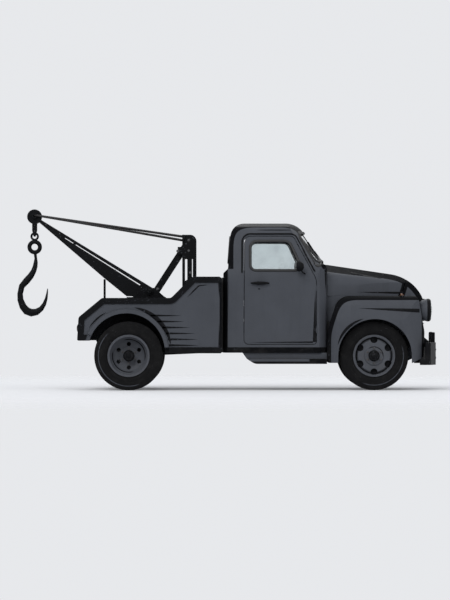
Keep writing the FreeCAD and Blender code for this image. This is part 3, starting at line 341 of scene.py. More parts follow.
def sweep(points, section, closed=False, up=UP):
    """Bar of that section, (across, up) points, along a path; its up stays as near to up as it can."""
    count, points, verts = len(points), [Vector(p) for p in points], []
    for i, p in enumerate(points):
        before = points[i - 1] if closed or i else p
        after = points[(i + 1) % count] if closed or i < count - 1 else p
        way = (after - before).normalized()
        across = way.cross(up[i] if isinstance(up, list) else up)
        across = across.normalized() if across.length > 1e-6 else ACROSS
        rise = across.cross(way)
        verts += [p + across * u + rise * v for u, v in section]
    return tube(verts, len(section), closed)


def circle(radius, count=8, flat=1.0):
    """Round section; flat under 1 makes it an oval, low in its up direction."""
    return [(u, flat * v) for u, v in (round_at(i, count, radius) for i in range(count))]


def from_bmesh(work):
    verts = [v.co.copy() for v in work.verts]
    work.verts.index_update()
    faces = [tuple(v.index for v in f.verts) for f in work.faces]
    work.free()
    return verts, faces


def box_mesh(low, high, bevel=0.0):
    """Box with chamfered edges when bevel is given."""
    low, high = Vector(low), Vector(high)
    work = bmesh.new()
    bmesh.ops.create_cube(work, size=1)
    for v in work.verts:
        v.co = (v.co + Vector((0.5, 0.5, 0.5))) * (high - low) + low
    if bevel:
        bmesh.ops.bevel(work, geom=work.edges[:], offset=bevel, segments=2, affect="EDGES", profile=0.5)
    return from_bmesh(work)


PRISM_FACES = [(3, 2, 1, 0), (4, 5, 6, 7), (0, 1, 5, 4), (1, 2, 6, 5), (2, 3, 7, 6), (3, 0, 4, 7)]


def prism(base, crown, low, high):
    """Four-sided bar between two outlines at two heights."""
    return [(x, y, low) for x, y in base] + [(x, y, high) for x, y in crown], PRISM_FACES


def facing(at, way):
    """Matrix that carries a lathe's Z axis to way at a place."""
    return Matrix.Translation(Vector(at)) @ Vector(way).to_track_quat("Z", "Y").to_matrix().to_4x4()


def bolt(radius, height):
    """Hexagon head with a chamfered crown on a thin washer."""
    rim, top = height * 0.18, height
    washer = lathe([(0, -height * 0.4), (radius * 1.45, 0), (radius * 1.45, rim), (radius * 1.05, rim), (0, rim)], 16)
    head = lathe([(radius, height * 0.1), (radius, height * 0.85), (radius * 0.8, top), (0, top)], 6)
    return joined(washer, head)


def joined(*shapes):
    """Several shapes as one."""
    heap = Heap()
    for shape in shapes:
        heap.add(shape)
    return heap.verts, heap.faces


def dome(radius, height, turns=16):
    """Rivet or button head."""
    crown = [(radius * cos(pi / 8 * i), height * sin(pi / 8 * i)) for i in range(5)]
    return lathe([(0, -height * 0.3), (radius, -height * 0.3)] + crown, turns)


def bead_section(width, height):
    """Half-round strip that sits on a surface, wider than it is high, with its foot just inside it."""
    right = [(width * 0.15, height), (width * 0.36, height * 0.8), (width / 2, height * 0.3), (width / 2, -0.003)]
    return [(-u, v) for u, v in reversed(right)] + right


class Heap:
    """Vertices and faces gathered from several shapes, to become one piece."""

    def __init__(self):
        self.verts, self.faces = [], []

    def add(self, shape, move=None):
        start = len(self.verts)
        self.verts += [move @ Vector(v) if move else Vector(v) for v in shape[0]]
        self.faces += [tuple(start + i for i in face) for face in shape[1]]
        return self

    def turned(self, profile, turns, at, way, closed=False):
        return self.add(lathe(profile, turns, closed), facing(at, way))

    def studs(self, tree, starts, way, shape):
        """The shape wherever a ray that way from a start meets the surface, facing back along the ray."""
        for start in starts:
            place, _ = hit(tree, start, way)
            if place:
                self.add(shape, facing(place, [0 - w for w in way]))
        return self

    def make(self, name, key, body="chassis", smooth=40, slot=None):
        """A piece that rides on a body; smooth is the angle in degrees over which edges stay sharp."""
        material, own_slot = look[key]
        mesh = bpy.data.meshes.new(name)
        mesh.from_pydata([tuple(v) for v in self.verts], [], self.faces)
        work = bmesh.new()
        work.from_mesh(mesh)
        bmesh.ops.remove_doubles(work, verts=work.verts, dist=1e-6)
        bmesh.ops.recalc_face_normals(work, faces=work.faces)
        for face in work.faces:
            face.smooth = smooth > 0
        for edge in work.edges:
            if len(edge.link_faces) == 2 and edge.calc_face_angle() > radians(smooth):
                edge.smooth = False
        work.to_mesh(mesh)
        work.free()
        mesh.materials.append(material)
        made = bpy.data.objects.new(name, mesh)
        scene.collection.objects.link(made)
        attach(made, body)
        return made


# ---- reading the frame's surfaces ----
def surface(*names):
    """Ray target made of those CAD nodes."""
    meshes = [nodes[name].data for name in names]
    return BVHTree.FromPolygons(*joined(*(([v.co.copy() for v in mesh.vertices],
                                           [tuple(p.vertices) for p in mesh.polygons]) for mesh in meshes)))


def hit(tree, start, way):
    """First point of the surface from start along way, with its normal turned to face the ray."""
    place, normal, _, _ = tree.ray_cast(Vector(start), Vector(way))
    if place is None:
        return None, None
    return place, normal if normal.dot(Vector(way)) < 0 else -normal


def on_side(tree, x, z, side):
    return hit(tree, (x, side * 2.0, z), (0, -side, 0))


def hull(name, axes, keep=lambda v: True):
    """Convex outline, as 2-D points, of a CAD node seen along its third axis."""
    flat = [Vector((v.co[axes[0]], v.co[axes[1]])) for v in nodes[name].data.vertices if keep(v.co)]
    return [flat[i] for i in convex_hull_2d(flat)]


def even(points, step, closed=True):
    """The same line with points a step apart."""
    ring = points + [points[0]] if closed else points
    lengths = [(b - a).length for a, b in zip(ring, ring[1:])]
    total = sum(lengths)
    count = max(8, round(total / step))
    made, k, walked = [], 0, 0.0
    for i in range(count if closed else count + 1):
        want = total * i / count
        while k < len(lengths) - 1 and walked + lengths[k] < want:
            walked += lengths[k]
            k += 1
        made.append(ring[k].lerp(ring[k + 1], min(1.0, (want - walked) / max(lengths[k], 1e-9))))
    return made


def grown(points, distance):
    """Closed convex outline moved outwards."""
    centre = sum(points, Vector((0, 0))) / len(points)
    made = []
    for i, p in enumerate(points):
        along = (points[(i + 1) % len(points)] - points[i - 1]).normalized()
        out = Vector((along.y, -along.x))
        made.append(p + out * (distance if out.dot(p - centre) > 0 else -distance))
    return made


def spear(tree, side, points, width, proud=0.004, belly=0.0):
    """Raised tapering line on the truck's side: from a point at both ends, or square at the last
    one when belly is 0. points are (x, z)."""
    line = even([Vector(p) for p in points], 0.02, closed=False)
    verts = []
    for i, p in enumerate(line):
        t = i / (len(line) - 1)
        size = max(width * (sin(pi * t) ** belly if belly else t ** 0.8), 0.0008)
        along = (line[min(i + 1, len(line) - 1)] - line[max(i - 1, 0)]).normalized()
        across = Vector((-along.y, along.x)) * size / 2
        crest = proud * min(1.0, size / (0.4 * width))
        for share, rise in ((-1, -0.0015), (-0.75, crest), (0.75, crest), (1, -0.0015)):
            q = p + across * share
            place, _ = on_side(tree, q.x, q.y, side)
            if place is None:
                place, rise = Vector((q.x, verts[-1].y if verts else 0, q.y)), 0
            verts.append(place + Vector((0, side * rise, 0)))
    return tube(verts, 4)


def line_up(tree, rays, lift=0.0):
    """Where rays, (start, way), meet the surface: places moved out by lift, and normals."""
    met = [found for found in (hit(tree, *ray) for ray in rays) if found[0]]
    return [place + normal * lift for place, normal in met], [normal for _, normal in met]


def strip_on(tree, points, side, width, height, closed=True):
    """Trim strip along (x, z) points on one side of the truck, following its surface."""
    places, normals = line_up(tree, [((p.x, side * 2.0, p.y), (0, -side, 0)) for p in points])
    ups = [Vector((0, side, 0)).lerp(normal, 0.5).normalized() for normal in normals]
    return sweep(places, bead_section(width, height), closed, ups)


def arc_points(centre, reach, first, last, count=24):
    """(x, z) points on a circle in side view, angles in degrees."""
    angles = [radians(first + (last - first) * i / (count - 1)) for i in range(count)]
    return [(centre.x + reach * cos(a), centre.z + reach * sin(a)) for a in angles]


# ---- the black second colour, as masks in the row frame; the wheels' masks also paint shade and highlights ----
def below_line(p, a, b):
    """Distance from the line through (x, z) points a and b, positive on its right going from a to b."""
    way = (Vector(b) - Vector(a)).normalized()
    right = Vector((way.y, -way.x))
    return p.x * right.x + p.z * right.y - right.dot(Vector(a))


def lesser(p, a, b, blend):
    return p.math("SMOOTH_MIN", a, b, blend)


def under(p, value, limit, soft=0.002):
    """1 where the value is below the limit."""
    return p.step(value, limit + soft, limit - soft)


def offsets(p, centre_x, centre_z):
    """Offsets from a centre in side view, and the distance from it."""
    dx, dz = p.x - centre_x, p.z - centre_z
    return dx, dz, p.math("SQRT", dx * dx + dz * dz)


def ring_mask(p, reach, radius, half_width, soft=0.0015):
    return under(p, abs(reach - radius), half_width, soft)


PILLAR_FOOT = (cab_high.x - 0.014, COWL_Z)
PILLAR_HEAD = (cab_high.x - 0.373, cab_high.z)
CAB_CORNER_Y = 0.62
HOOD_CROWN = ((cab_high.x + 0.008, COWL_Z), (nose_high.x - 0.188, COWL_Z - 0.164))
NOSE_FALL = (HOOD_CROWN[1], (nose_high.x + 0.015, wing_high.z - 0.112))
SEAM_RADIUS = hood_high.x - hood_hinge.x + 0.026
WING_INNER = 0.74        # the wings' inner panels, inside this, stay slate


def cab_black(p):
    """Roof edge, screen pillars, back corners and sill."""
    roof = lesser(p, p.x - (cab_low.x + 0.075), cab_high.z - p.z, 0.34)
    depth = lesser(p, roof, below_line(p, PILLAR_HEAD, PILLAR_FOOT), 0.2)
    upper = under(p, depth, 0.062) * p.step(p.z, BELT_Z - 0.01, BELT_Z)
    corner = p.step(abs(p.y), CAB_CORNER_Y, CAB_CORNER_Y + 0.01)
    return upper | under(p, p.x - cab_low.x, 0.062) * corner | under(p, p.z, SILL_TOP)


def clip_black(p):
    """Crown of the hood and nose, deeper towards the cab, and the seam between them."""
    crown = lesser(p, below_line(p, *HOOD_CROWN), below_line(p, *NOSE_FALL), 0.34)
    width = p.step(p.x, HOOD_CROWN[1][0], HOOD_CROWN[0][0]) * 0.03 + 0.062
    reach = offsets(p, hood_hinge.x, hood_hinge.z)[2]
    return under(p, crown - width, 0.0) | ring_mask(p, reach, SEAM_RADIUS, 0.040, 0.002)


def wing_black(p):
    """Beading round the front wings: rear edge, crown, front edge and wheel arch."""
    lean = below_line(p, (wing_low.x + 0.002, 0.76), (wing_low.x + 0.153, wing_high.z))
    rear = lesser(p, p.x - wing_low.x, lean, 0.05)
    depth = lesser(p, rear, wing_high.z - p.z, 0.26)
    outside = p.step(abs(p.y), WING_INNER, WING_INNER + 0.02)
    return (under(p, depth, 0.054) | under(p, wing_high.x - p.x, 0.04)) * outside


def body_black(p):
    """Front edge of the body, its lower edge, and everything inside the wheel arch."""
    edge = p.step(p.x, body_high.x - 0.030, body_high.x - 0.026)
    low = under(p, p.z, SILL_TOP) * p.step(p.x, REAR_ARCH.x + 0.40, REAR_ARCH.x + 0.41)
    return edge | low | 1.0 - p.step(abs(p.y), 0.80, 0.82)


def board_black(p):
    """Lower edge of the running board, its front end and its top."""
    ahead = p.step(p.x, board_high.x - 0.24, board_high.x - 0.22)
    return under(p, p.z, board_low.z + 0.032) | ahead | p.step(p.z, board_high.z - 0.003, board_high.z - 0.001)


def from_axle(p):
    """Whether the point is ahead, its offsets from its own axle, and its distance from it."""
    ahead = p.math("GREATER_THAN", p.x, 0.0)
    return (ahead, *offsets(p, p.blend(ahead, rear_axle_at.x, front_axle_at.x), front_axle_at.z))


def rim_black_and_shade(p):
    """Black hub, and painted shade on the rims: a black ring in the front rims' recess and short curved strokes on
    both where the discs dish in.
    """
    ahead, dx, dz, reach = from_axle(p)
    hub = p.step(reach, 0.0755, 0.0725)
    recess_shade = ahead * ring_mask(p, reach, 0.231, 0.0085)
    # painted shade: short dark arcs where the front and rear discs dish in
    stroke = ahead * ring_mask(p, reach, 0.116, 0.0055) * p.step(dx * 0.5 + dz * 0.87, 0.030, 0.075)
    across = abs(dx * 0.707 + dz * 0.707)
    strokes = (1.0 - ahead) * ring_mask(p, reach, 0.214, 0.006) * p.step(across, 0.085, 0.14)
    return hub | recess_shade | stroke | strokes


def tyre_highlight_arcs(p):
    """Painted highlight: a long paler arc along each sidewall, low in front on the front wheels, behind on the rear
    ones.
    """
    ahead, dx, dz, reach = from_axle(p)
    front = ahead * ring_mask(p, reach, 0.383, 0.0055) * p.step(dx * 0.68 - dz * 0.73, 0.13, 0.22)
    rear = ring_mask(p, reach, 0.394, 0.0055) * p.step(dx * -0.848 - dz * 0.53, 0.05, 0.14)
    return front | (1.0 - ahead) * rear


# ---- finish of the frame's own nodes ----
def finishes():
    """Rows of: look, material, slot of its pieces, nodes that have it."""
    steel_grey = (0.035, 0.035, 0.037)
    return (
        ("door", worn_paint("door_paint", SLATE), "body_paint", "left_door right_door splash_panels headlights"),
        ("cab", worn_paint("cab_paint", SLATE, cab_black), "", "cab_shell"),
        ("clip", worn_paint("hood_paint", SLATE, clip_black), "", "hood nose_panel"),
        ("wing", worn_paint("fender_paint", SLATE, wing_black), "", "left_front_fender right_front_fender"),
        ("side", worn_paint("body_side_paint", SLATE, body_black, 0.8), "", "left_body_side right_body_side"),
        ("board", worn_paint("board_paint", SLATE, board_black, 0.9), "", "running_boards"),
        ("black", black_paint("black_enamel"), "black_paint",
         "body_side_rails front_bumper tail_panel left_mirror right_mirror"),
        ("frame", black_paint("chassis_black", shade(BLACK, 1.6), 0.5, 1.6), "frame_paint",
         "frame_rails frame_crossmembers drive_shaft rear_axle front_axle leaf_springs tie_rod deck_sills "
         "left_steering_knuckle right_steering_knuckle"),
        ("crane", black_paint("crane_black", BLACK, 0.4, 1.5), "hook_steel",
         "mast mast_braces boom_bracket boom boom_rest boom_sheave hook_yoke hook deck"),
        ("inside", plain_coat("cab_trim", (0.035, 0.037, 0.042)), "",
         "dashboard steering_column steering_wheel cab_floor"),
        ("wire", metal("stay_rod_black", (0.007, 0.007, 0.008), 0.5, 0.08, 0.2, 400), "hook_steel", "stay_cables"),
        ("steel", metal("worn_steel", (0.09, 0.09, 0.094), 0.45, 0.15), "hook_steel", "exhaust"),
        ("iron", metal("engine_iron", (0.055, 0.057, 0.062), 0.55, 0.35, 0.5), "iron", "engine winch radiator"),
        # the rims' black mask also holds painted shade in the recess and on the dished discs
        ("rim", worn_paint("rim_paint", RIM_SLATE, rim_black_and_shade, 0.7, 0.4), "rim_paint",
         "left_front_rim right_front_rim left_rear_rims right_rear_rims"),
        ("glass", pane(), "", "cab_glass left_door_glass right_door_glass"),
        ("tyre", tyre_rubber(), "tyre", ""),
        ("rubber", plain_coat("seal_rubber", (0.006, 0.006, 0.0065), 0.6), "black_paint", ""),
        ("nut", metal("nut_steel", (0.10, 0.10, 0.105), 0.45, 0.3), "hook_steel", ""),
        ("lens", pane("lamp_glass", (0.86, 0.88, 0.86), 0.25), "glass", ""),
        ("amber", pane("marker_glass", (0.75, 0.26, 0.04), 0.2), "glass", ""),
        ("red", pane("tail_glass", (0.45, 0.02, 0.015), 0.2), "glass", ""),
        ("rope", metal("wire_rope", (0.05, 0.048, 0.046), 0.5, 0.35, 0.8, 500), "hook_steel", ""),
        ("bare", metal("dark_pin_steel", steel_grey, 0.45, 0.1, 0.6), "hook_steel", ""),
        ("card", plain_coat("door_card_vinyl", (0.028, 0.029, 0.033), 0.55), "interior", ""),
        ("dial", plain_coat("dial_face", (0.42, 0.41, 0.36), 0.4, 20), "interior", ""),
        ("deck_bars", metal("tread_steel", steel_grey, 0.45, 0.3, 0.7), "black_paint", ""),
        ("chrome", metal("dull_chrome", (0.42, 0.42, 0.43), 0.22, 0.1), "chrome", ""),
        ("vinyl", vinyl(), "seat_vinyl", ""))


look = {}                # material and slot of every look, for the pieces


def finish_nodes():
    for key, material, slot, names in finishes():
        look[key] = material, slot
        for name in names.split():
            slots = nodes[name].data.materials
            if not slots:
                slots.append(material)
            for i in range(len(slots)):
                slots[i] = material


# ---- studio ----
VIEW_HEIGHT = 7.95       # metres that the upright frame takes in at the truck
VIEW_CENTRE = Vector((-0.008, 0, 1.179))
CAMERA_AWAY = 60.0
SENSOR = 36.0
FLOOR_RADIUS = 14.0
FLOOR_GLOW = 0.15
PAPER_TONE = (0.800, 0.812, 0.835)
AIR_TONE = (0.9, 0.93, 1.0)
SUNS = (("key", (0.35, 0.78, -0.62), 1.35, 34), ("fill", (-0.62, 0.72, -0.25), 0.70, 60),
        ("top", (0.1, 0.1, -1.0), 0.65, 70), ("back", (0.1, -0.8, -0.55), 0.60, 50))


def floor_material():
    """Pale paper that keeps the truck's shadow and fades into the studio's air well away from it."""
    p = Paint("studio_paper")
    for key, value in (("Base Color", (0.77, 0.778, 0.794)), ("Roughness", 0.95), ("Specular IOR Level", 0.1),
                       ("Emission Color", PAPER_TONE), ("Emission Strength", p.seen() * FLOOR_GLOW)):
        p.feed(p.shader.inputs[key], value)
    away = p.add("ShaderNodeVectorMath", {"operation": "LENGTH"}, Vector=p.place).outputs["Value"]
    clear = p.add("ShaderNodeBsdfTransparent").outputs["BSDF"]
    mix = p.fill(p.add("ShaderNodeMixShader"), p.step(away, 5.0, 13.0), p.shader.outputs[0], clear)
    p.feed(p.tree.nodes["Material Output"].inputs["Surface"], mix)
    return p.material


def studio():
    """Floor disc, suns that light the whole floor evenly, pale air and the camera."""
    rings, spokes = 8, 48
    verts = [(0, 0, 0)] + [(*round_at(i, spokes, FLOOR_RADIUS * k / rings), 0)
                           for k in range(1, rings + 1) for i in range(spokes)]
    faces = [(0, 1 + i, 1 + (i + 1) % spokes) for i in range(spokes)]
    faces += [(1 + a, 1 + d, 1 + c, 1 + b) for a, b, c, d in grid_faces(rings, spokes)]
    mesh = bpy.data.meshes.new("studio_floor")
    mesh.from_pydata(verts, [], faces)
    mesh.materials.append(floor_material())
    floor = bpy.data.objects.new("studio_floor", mesh)
    scene.collection.objects.link(floor)

    for name, way, strength, soft in SUNS:
        data = bpy.data.lights.new(name, "SUN")
        data.energy, data.angle = strength, radians(soft)
        made = bpy.data.objects.new(name, data)
        made.rotation_euler = Vector(way).to_track_quat("-Z", "Y").to_euler()
        scene.collection.objects.link(made)

    scene.world = bpy.data.worlds.new("studio_air")
    scene.world.use_nodes = True
    air = Tree(scene.world.node_tree)
    light = air.tree.nodes["Background"]
    air.fill(light, AIR_TONE, 0.30)
    paper = air.add("ShaderNodeBackground", Color=PAPER_TONE)
    mix = air.fill(air.add("ShaderNodeMixShader"), air.seen(), light.outputs[0], paper.outputs[0])
    air.feed(air.tree.nodes["World Output"].inputs["Surface"], mix)

    camera = bpy.data.cameras.new("camera")
    camera.sensor_width = SENSOR
    camera.lens = SENSOR * CAMERA_AWAY / VIEW_HEIGHT
    camera.clip_end = 300
    view = bpy.data.objects.new("camera", camera)
    view.location = VIEW_CENTRE + Vector((0, -CAMERA_AWAY, 0))
    view.rotation_euler = (pi / 2, 0, 0)
    scene.collection.objects.link(view)
    scene.camera = view
    scene.view_settings.view_transform = "Standard"


# ---- wheels ----
TREAD_TURNS = 216
BLOCK_PITCH = 6          # turns from one tread block to the next
# half section of a tyre from bead to tread centre, in thousandths of the half width and of the radius
WALL = mm(757,574, 757,622, 800,640, 900,668, 955,695, 955,712, 985,716, 985,742,
          970,746, 985,775, 990,800, 985,826, 1000,830, 1000,848, 975,852, 955,885,
          925,915, 935,920, 925,934, 895,938)
SHOULDER = mm(885,950, 862,980, 835,991)
TREAD = mm(600,996, 585,976, 515,976, 500,998, 190,1000, 175,978, 115,978, 100,1000)
LINER = mm(0,955, 720,945, 860,860, 840,720, 640,600)


def wheels():
    """Each wheel body: its side's way, its end, its axle's place, the names' stem and the plural's s."""
    for side, way in SIDES.items():
        for end, centre, plural in (("front", front_axle_at, ""), ("rear", rear_axle_at, "s")):
            yield way, end, centre, f"{side}_{end}", plural


def tyre_mesh(radius, half):
    """Cross-ply truck tyre about Z: ribbed walls, shoulder lugs, four grooved rows of blocks."""
    rings = [(w, r, kind) for kind, part in enumerate((WALL, SHOULDER, TREAD)) for w, r in part]
    inner = [(w, r, 0) for w, r in LINER]
    mirrored = [(-w, r, kind) for w, r, kind in rings[::-1] + inner[:0:-1]]
    loop = rings + mirrored + inner
    cut = 0.02 * radius
    verts = []
    for share, reach, kind in loop:
        row = 0 if abs(share) > 0.55 else 1
        for j in range(TREAD_TURNS):
            r = reach * radius
            step = (j + 3 * row + (2 if share < 0 else 0)) % BLOCK_PITCH
            if kind and step in (0, 1) and reach > 0.94 and abs(share) > 0.12:
                r -= cut * (0.55 if kind == 1 else 0.8)
            verts.append((*round_at(j, TREAD_TURNS, r, 0.45 * row * (kind == 2)), share * half))
    return tube(verts, TREAD_TURNS, closed=True)


def make_tyres():
    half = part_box("left_front_tyre")[1].y - front_axle_at.y
    for way, _, _, stem, plural in wheels():
        name = f"{stem}_tyre{plural}"
        low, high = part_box(name)
        centre = (low + high) / 2
        shape = tyre_mesh((high.z - low.z) / 2, half)
        heap = Heap()
        for y in ([low.y + half, high.y - half] if plural else [centre.y]):
            heap.add(shape, facing((centre.x, y, centre.z), (0, way, 0)))
        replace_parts(heap.make(name + "_treaded", "tyre", f"{stem}_wheel{plural}", 24), name)


def wheel_trim():
    """Hub caps, wheel nuts, valve stems, rim edge rings, and a brake drum behind each rim's openings."""
    for way, end, centre, stem, plural in wheels():
        tree = surface(f"{stem}_rim{plural}")
        out, body, front = Vector((0, way, 0)), f"{stem}_wheel{plural}", end == "front"
        spot = lambda x, z: on_side(tree, centre.x + x, centre.z + z, way)[0]
        heap = Heap()
        for i in range(6):
            place = spot(*round_at(i, 6, 0.098 if front else 0.094, 0.5))
            heap.add(bolt(0.0115, 0.019), facing(place, out))
            heap.add(dome(0.0065, 0.006), facing(place + out * 0.018, out))
        heap.make(stem + "_nuts", "nut", body, 30)
        cap = 56 if front else 50
        profile = mm(0,-12, cap,-12, cap + 4,-4, cap + 4,3, cap - 2,6, cap - 6,4, cap - 12,4.5, cap - 20,10.5,
                     cap - 32,13, 12,13.5, 0,13.8)
        Heap().turned(profile, 40, (centre.x, spot(0.02, 0).y - way * 0.006, centre.z), out).make(
            stem + "_hub_cap", "black", body, 25)
        flange = mm(262,-4, 273.5,0, 274.5,3, 270,5, 263,2)
        Heap().turned(flange, 96, (centre.x, spot(0.268, 0).y, centre.z), out, closed=True).make(
            stem + "_lock_ring", "rim", body)
        stalk = mm(0,-4, 6,-4, 6,22, 4.5,24, 4.5,34, 5.5,35, 5.5,44, 0,45)
        valve = spot(0.245 * cos(radians(80)), 0.245 * sin(radians(80)))
        Heap().turned(stalk, 14, valve, out).make(stem + "_valve", "nut", body)
        inner, low, high = (170, 728, 758) if front else (172, 735, 762)
        outer, lip = 236, 5
        drum = mm(inner,low, outer - lip,low, outer,low + lip, outer,high - lip, outer - lip,high,
                  inner + 20,high, inner + 12,high + 4, inner,high + 4)
        Heap().turned(drum, 72, (centre.x, 0, centre.z), out, closed=True).make(
            stem + "_drum", "frame", body, 30, "iron")


# ---- cab trim ----
def slot_outline(low, high, width):
    """Rounded slot between two (x, z) ends."""
    a, b = Vector(low), Vector(high)
    along = (b - a).normalized() * width / 2
    across = Vector((-along.y, along.x))
    return [end - across * cos(start + pi * i / 6) + along * sin(start + pi * i / 6)
            for end, start in ((b, 0), (a, pi)) for i in range(7)]


def window_trim():
    """Rubber round the door windows, windscreen and rear window, the screen's wrapped edge and its bar."""
    for side, way in SIDES.items():
        ring = even(grown(hull(side + "_door_glass", (0, 2)), 0.011), 0.022)
        Heap().add(strip_on(surface(side + "_door"), ring, way, 0.036, 0.014)).make(
            side + "_window_gasket", "rubber", side + "_door", 60)
    shell, glass = surface("cab_shell"), surface("cab_glass")
    for name, ahead, way in (("windscreen", True, -1), ("rear_window", False, 1)):
        ring = even(grown(hull("cab_glass", (1, 2), lambda v: (v.x > cab_middle_x) == ahead), 0.012), 0.03)
        places, ups = line_up(shell, [((FAR * -way, p.x, p.y), (way, 0, 0)) for p in ring])
        Heap().add(sweep(places, bead_section(0.04, 0.014), True, ups)).make(name + "_gasket", "rubber", smooth=60)
    low, high = screen_low, glass_high.z
    places, ups = line_up(glass, [((FAR, 0, low + (high - low) * i / 8), AFT) for i in range(9)], 0.002)
    bar = mm(-11,4, -6,10, 6,10, 11,4, 8,-92, -8,-92)
    Heap().add(sweep(places, bar, False, ups)).make("windscreen_post", "rubber", smooth=60)
    # the screen wraps round to the pillars: its edge shows as a narrow pane from the side
    for side, way in SIDES.items():
        ring = slot_outline((cab_high.x - 0.112, COWL_Z + 0.020), (cab_high.x - 0.318, cab_high.z - 0.185), 0.084)
        Heap().add(strip_on(shell, even(ring, 0.02), way, 0.034, 0.010)).make(
            side + "_screen_edge", "rubber", smooth=60)


screen_low = min(v.co.z for v in nodes["cab_glass"].data.vertices if v.co.x > cab_middle_x)


def wipers():
    shell, glass = surface("cab_shell"), surface("cab_glass")
    reach_z = screen_low + 0.115
    for side, way in SIDES.items():
        base, normal = hit(shell, (FAR, way * 0.30, screen_low - 0.03), AFT)
        tip, tip_normal = hit(glass, (FAR, way * 0.12, reach_z), AFT)
        heap = Heap().turned(mm(0,-10, 16,-10, 16,12, 10,18, 0,19), 18, base, normal)
        heap.add(sweep([base + normal * 0.014, tip + tip_normal * 0.022], circle(0.004)))
        rays = [((FAR, way * 0.12 - way * 0.12 * t, reach_z + 0.246 * t), AFT)
                for t in (i / 6 - 0.5 for i in range(7))]
        blade = [place for place in line_up(glass, rays, 0.010)[0] if place.x > cab_middle_x]
        heap.add(sweep(blade, mm(-3,-8, 3,-8, 5,4, 0,12, -5,4)))
        heap.make(side + "_wiper", "black")


def door_fittings():
    """Handle and lock of each door."""
    for side, way in SIDES.items():
        door, out = side + "_door", (0, way, 0)
        low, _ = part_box(door)
        tree = surface(door)
        x, z = low.x + 0.185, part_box("left_door_glass")[0].z - 0.178
        place, _ = on_side(tree, x, z, way)
        heap = Heap().turned(mm(0,-4, 24,-4, 24,3, 18,8, 12,10, 12,24, 0,24), 24, place, out)
        # lever: a flat tapered bar on a round escutcheon
        lever, steps = [], 12
        for i in range(steps + 1):
            t = i / steps
            p = Vector((x - 0.10 + 0.245 * t, place.y + way * (0.026 + 0.012 * sin(pi * t)), z))
            size = 0.021 * sin(pi * (0.06 + 0.88 * t)) ** 0.6
            lever += [p + Vector((0, way * v * size * 0.4, u * size)) for u, v in circle(1.0, 10)]
        heap.add(tube(lever, 10))
        lock, _ = on_side(tree, x + 0.01, z - 0.075, way)
        heap.turned(mm(0,-3, 11,-3, 11,3, 8,5, 7,3, 0,3), 20, lock, out)
        heap.make(side + "_door_handle", "black", door)


def drip_rails():
    """Drip rails over the doors, with the roof's style line above them."""
    tree = surface("cab_shell")
    for side, way in SIDES.items():
        low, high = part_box(side + "_door")
        doorway = even(grown(hull(side + "_door", (0, 2)), 0.034), 0.02)
        top = [p for p in doorway if p.y > 1.52 and p.x < high.x - 0.02]
        start = max(range(len(top)), key=lambda i: (top[i] - top[i - 1]).length)
        heap = Heap().add(strip_on(tree, top[start:] + top[:start], way, 0.020, 0.014, closed=False))
        z = high.z + 0.085
        heap.add(spear(tree, way, [(low.x + 0.17, z), (high.x - 0.32, z)], 0.014, 0.003, 0.4))
        heap.make(side + "_drip_rail", "black", smooth=50)


# ---- front clip ----
def lens_mesh(radius, deep, turns=64, rows=14):
    """Crowned lens with vertical flutes inside."""
    verts = []
    for inner in (0, 1):
        for i in range(rows + 1):
            k = rows - i if inner else i
            r = 0.81 * radius * k / rows
            rise = deep * (0.86 + 0.125 * (1 - (k / rows) ** 2)) - 0.005 * inner
            for j in range(turns):
                flute = 0.0011 * sin(2 * pi * round_at(j, turns, r)[0] / 0.016) * min(1.0, (rows - k) / 3) * inner
                verts.append((*round_at(j, turns, max(r, 1e-5)), rise + flute))
    return verts, grid_faces(2 * rows + 2, turns)


def headlamps():
    """Headlamps in place of the frame's plain ones."""
    radius = (lamp_high.z - lamp_low.z) / 2
    deep = lamp_high.x - lamp_low.x
    turns = 64
    shares = lambda *numbers: [(r * radius, t * deep) for r, t in mm(*numbers)]
    bucket = shares(0,6, 500,10, 690,50, 800,160, 867,280, 914,390, 963,500, 990,620,
                    990,700, 930,700, 920,600, 0,550)
    rim = shares(985,600, 999,620, 999,710, 985,760, 955,815, 900,860, 850,885, 815,890,
                 800,870, 800,700, 900,660)
    bowl = [(0.79 * radius * k / 10, deep * (0.58 + 0.24 * (k / 10) ** 2)) for k in range(11)]
    bowl += shares(790,800, 0,565)
    bulb = [(r, t * deep) for r, t in mm(0,600, 11,600, 12,680, 9,720, 0,735)]
    shell, rims, lenses, mirrors = Heap(), Heap(), Heap(), Heap()
    for way in SIDES.values():
        at = (lamp_low.x, way * (lamp_high.y - radius), (lamp_low.z + lamp_high.z) / 2)
        shell.turned(bucket, turns, at, FORE)
        rims.turned(rim, turns, at, FORE, closed=True)
        lenses.add(lens_mesh(radius, deep), facing(at, FORE))
        mirrors.turned(bowl, turns, at, FORE).turned(bulb, 20, at, FORE)
    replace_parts(shell.make("headlamp_buckets", "door"), "headlights")
    rims.make("headlamp_rims", "black")
    lenses.make("headlamp_lenses", "lens", smooth=60)
    mirrors.make("headlamp_reflectors", "chrome")


def small_lamps():
    """A marker lamp on each front wing and a tail lamp at each rear corner."""
    rear = surface("left_body_side", "right_body_side", "body_side_rails", "tail_panel")
    foot = mm(0,-10, 32,-10, 32,4, 27,7, 20,8, 0,8)
    cap = mm(0,6, 22,6, 22,12, 19,24, 12,31, 0,34)
    body = mm(0,-10, 50,-10, 50,6, 47,12, 41,14, 40,8, 0,8)
    lens = mm(0,4, 39.5,4, 39.5,11, 34,17, 30,15, 26,19, 14,21, 0,21.5)
    for side, way in SIDES.items():
        marker = surface(side + "_front_fender"), [(wing_high.x - 0.30, way * 0.80, FAR)], DOWN
        tail = rear, [(-4, way * 0.78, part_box("tail_panel")[0].z + 0.16)], (1, 0, 0)
        for name, key, where, profile, turns in (
                ("_marker_foot", "black", marker, foot, 32), ("_marker_lens", "amber", marker, cap, 32),
                ("_tail_lamp_body", "black", tail, body, 40), ("_tail_lamp_lens", "red", tail, lens, 40)):
            Heap().studs(*where, lathe(profile, turns)).make(side + name, key)


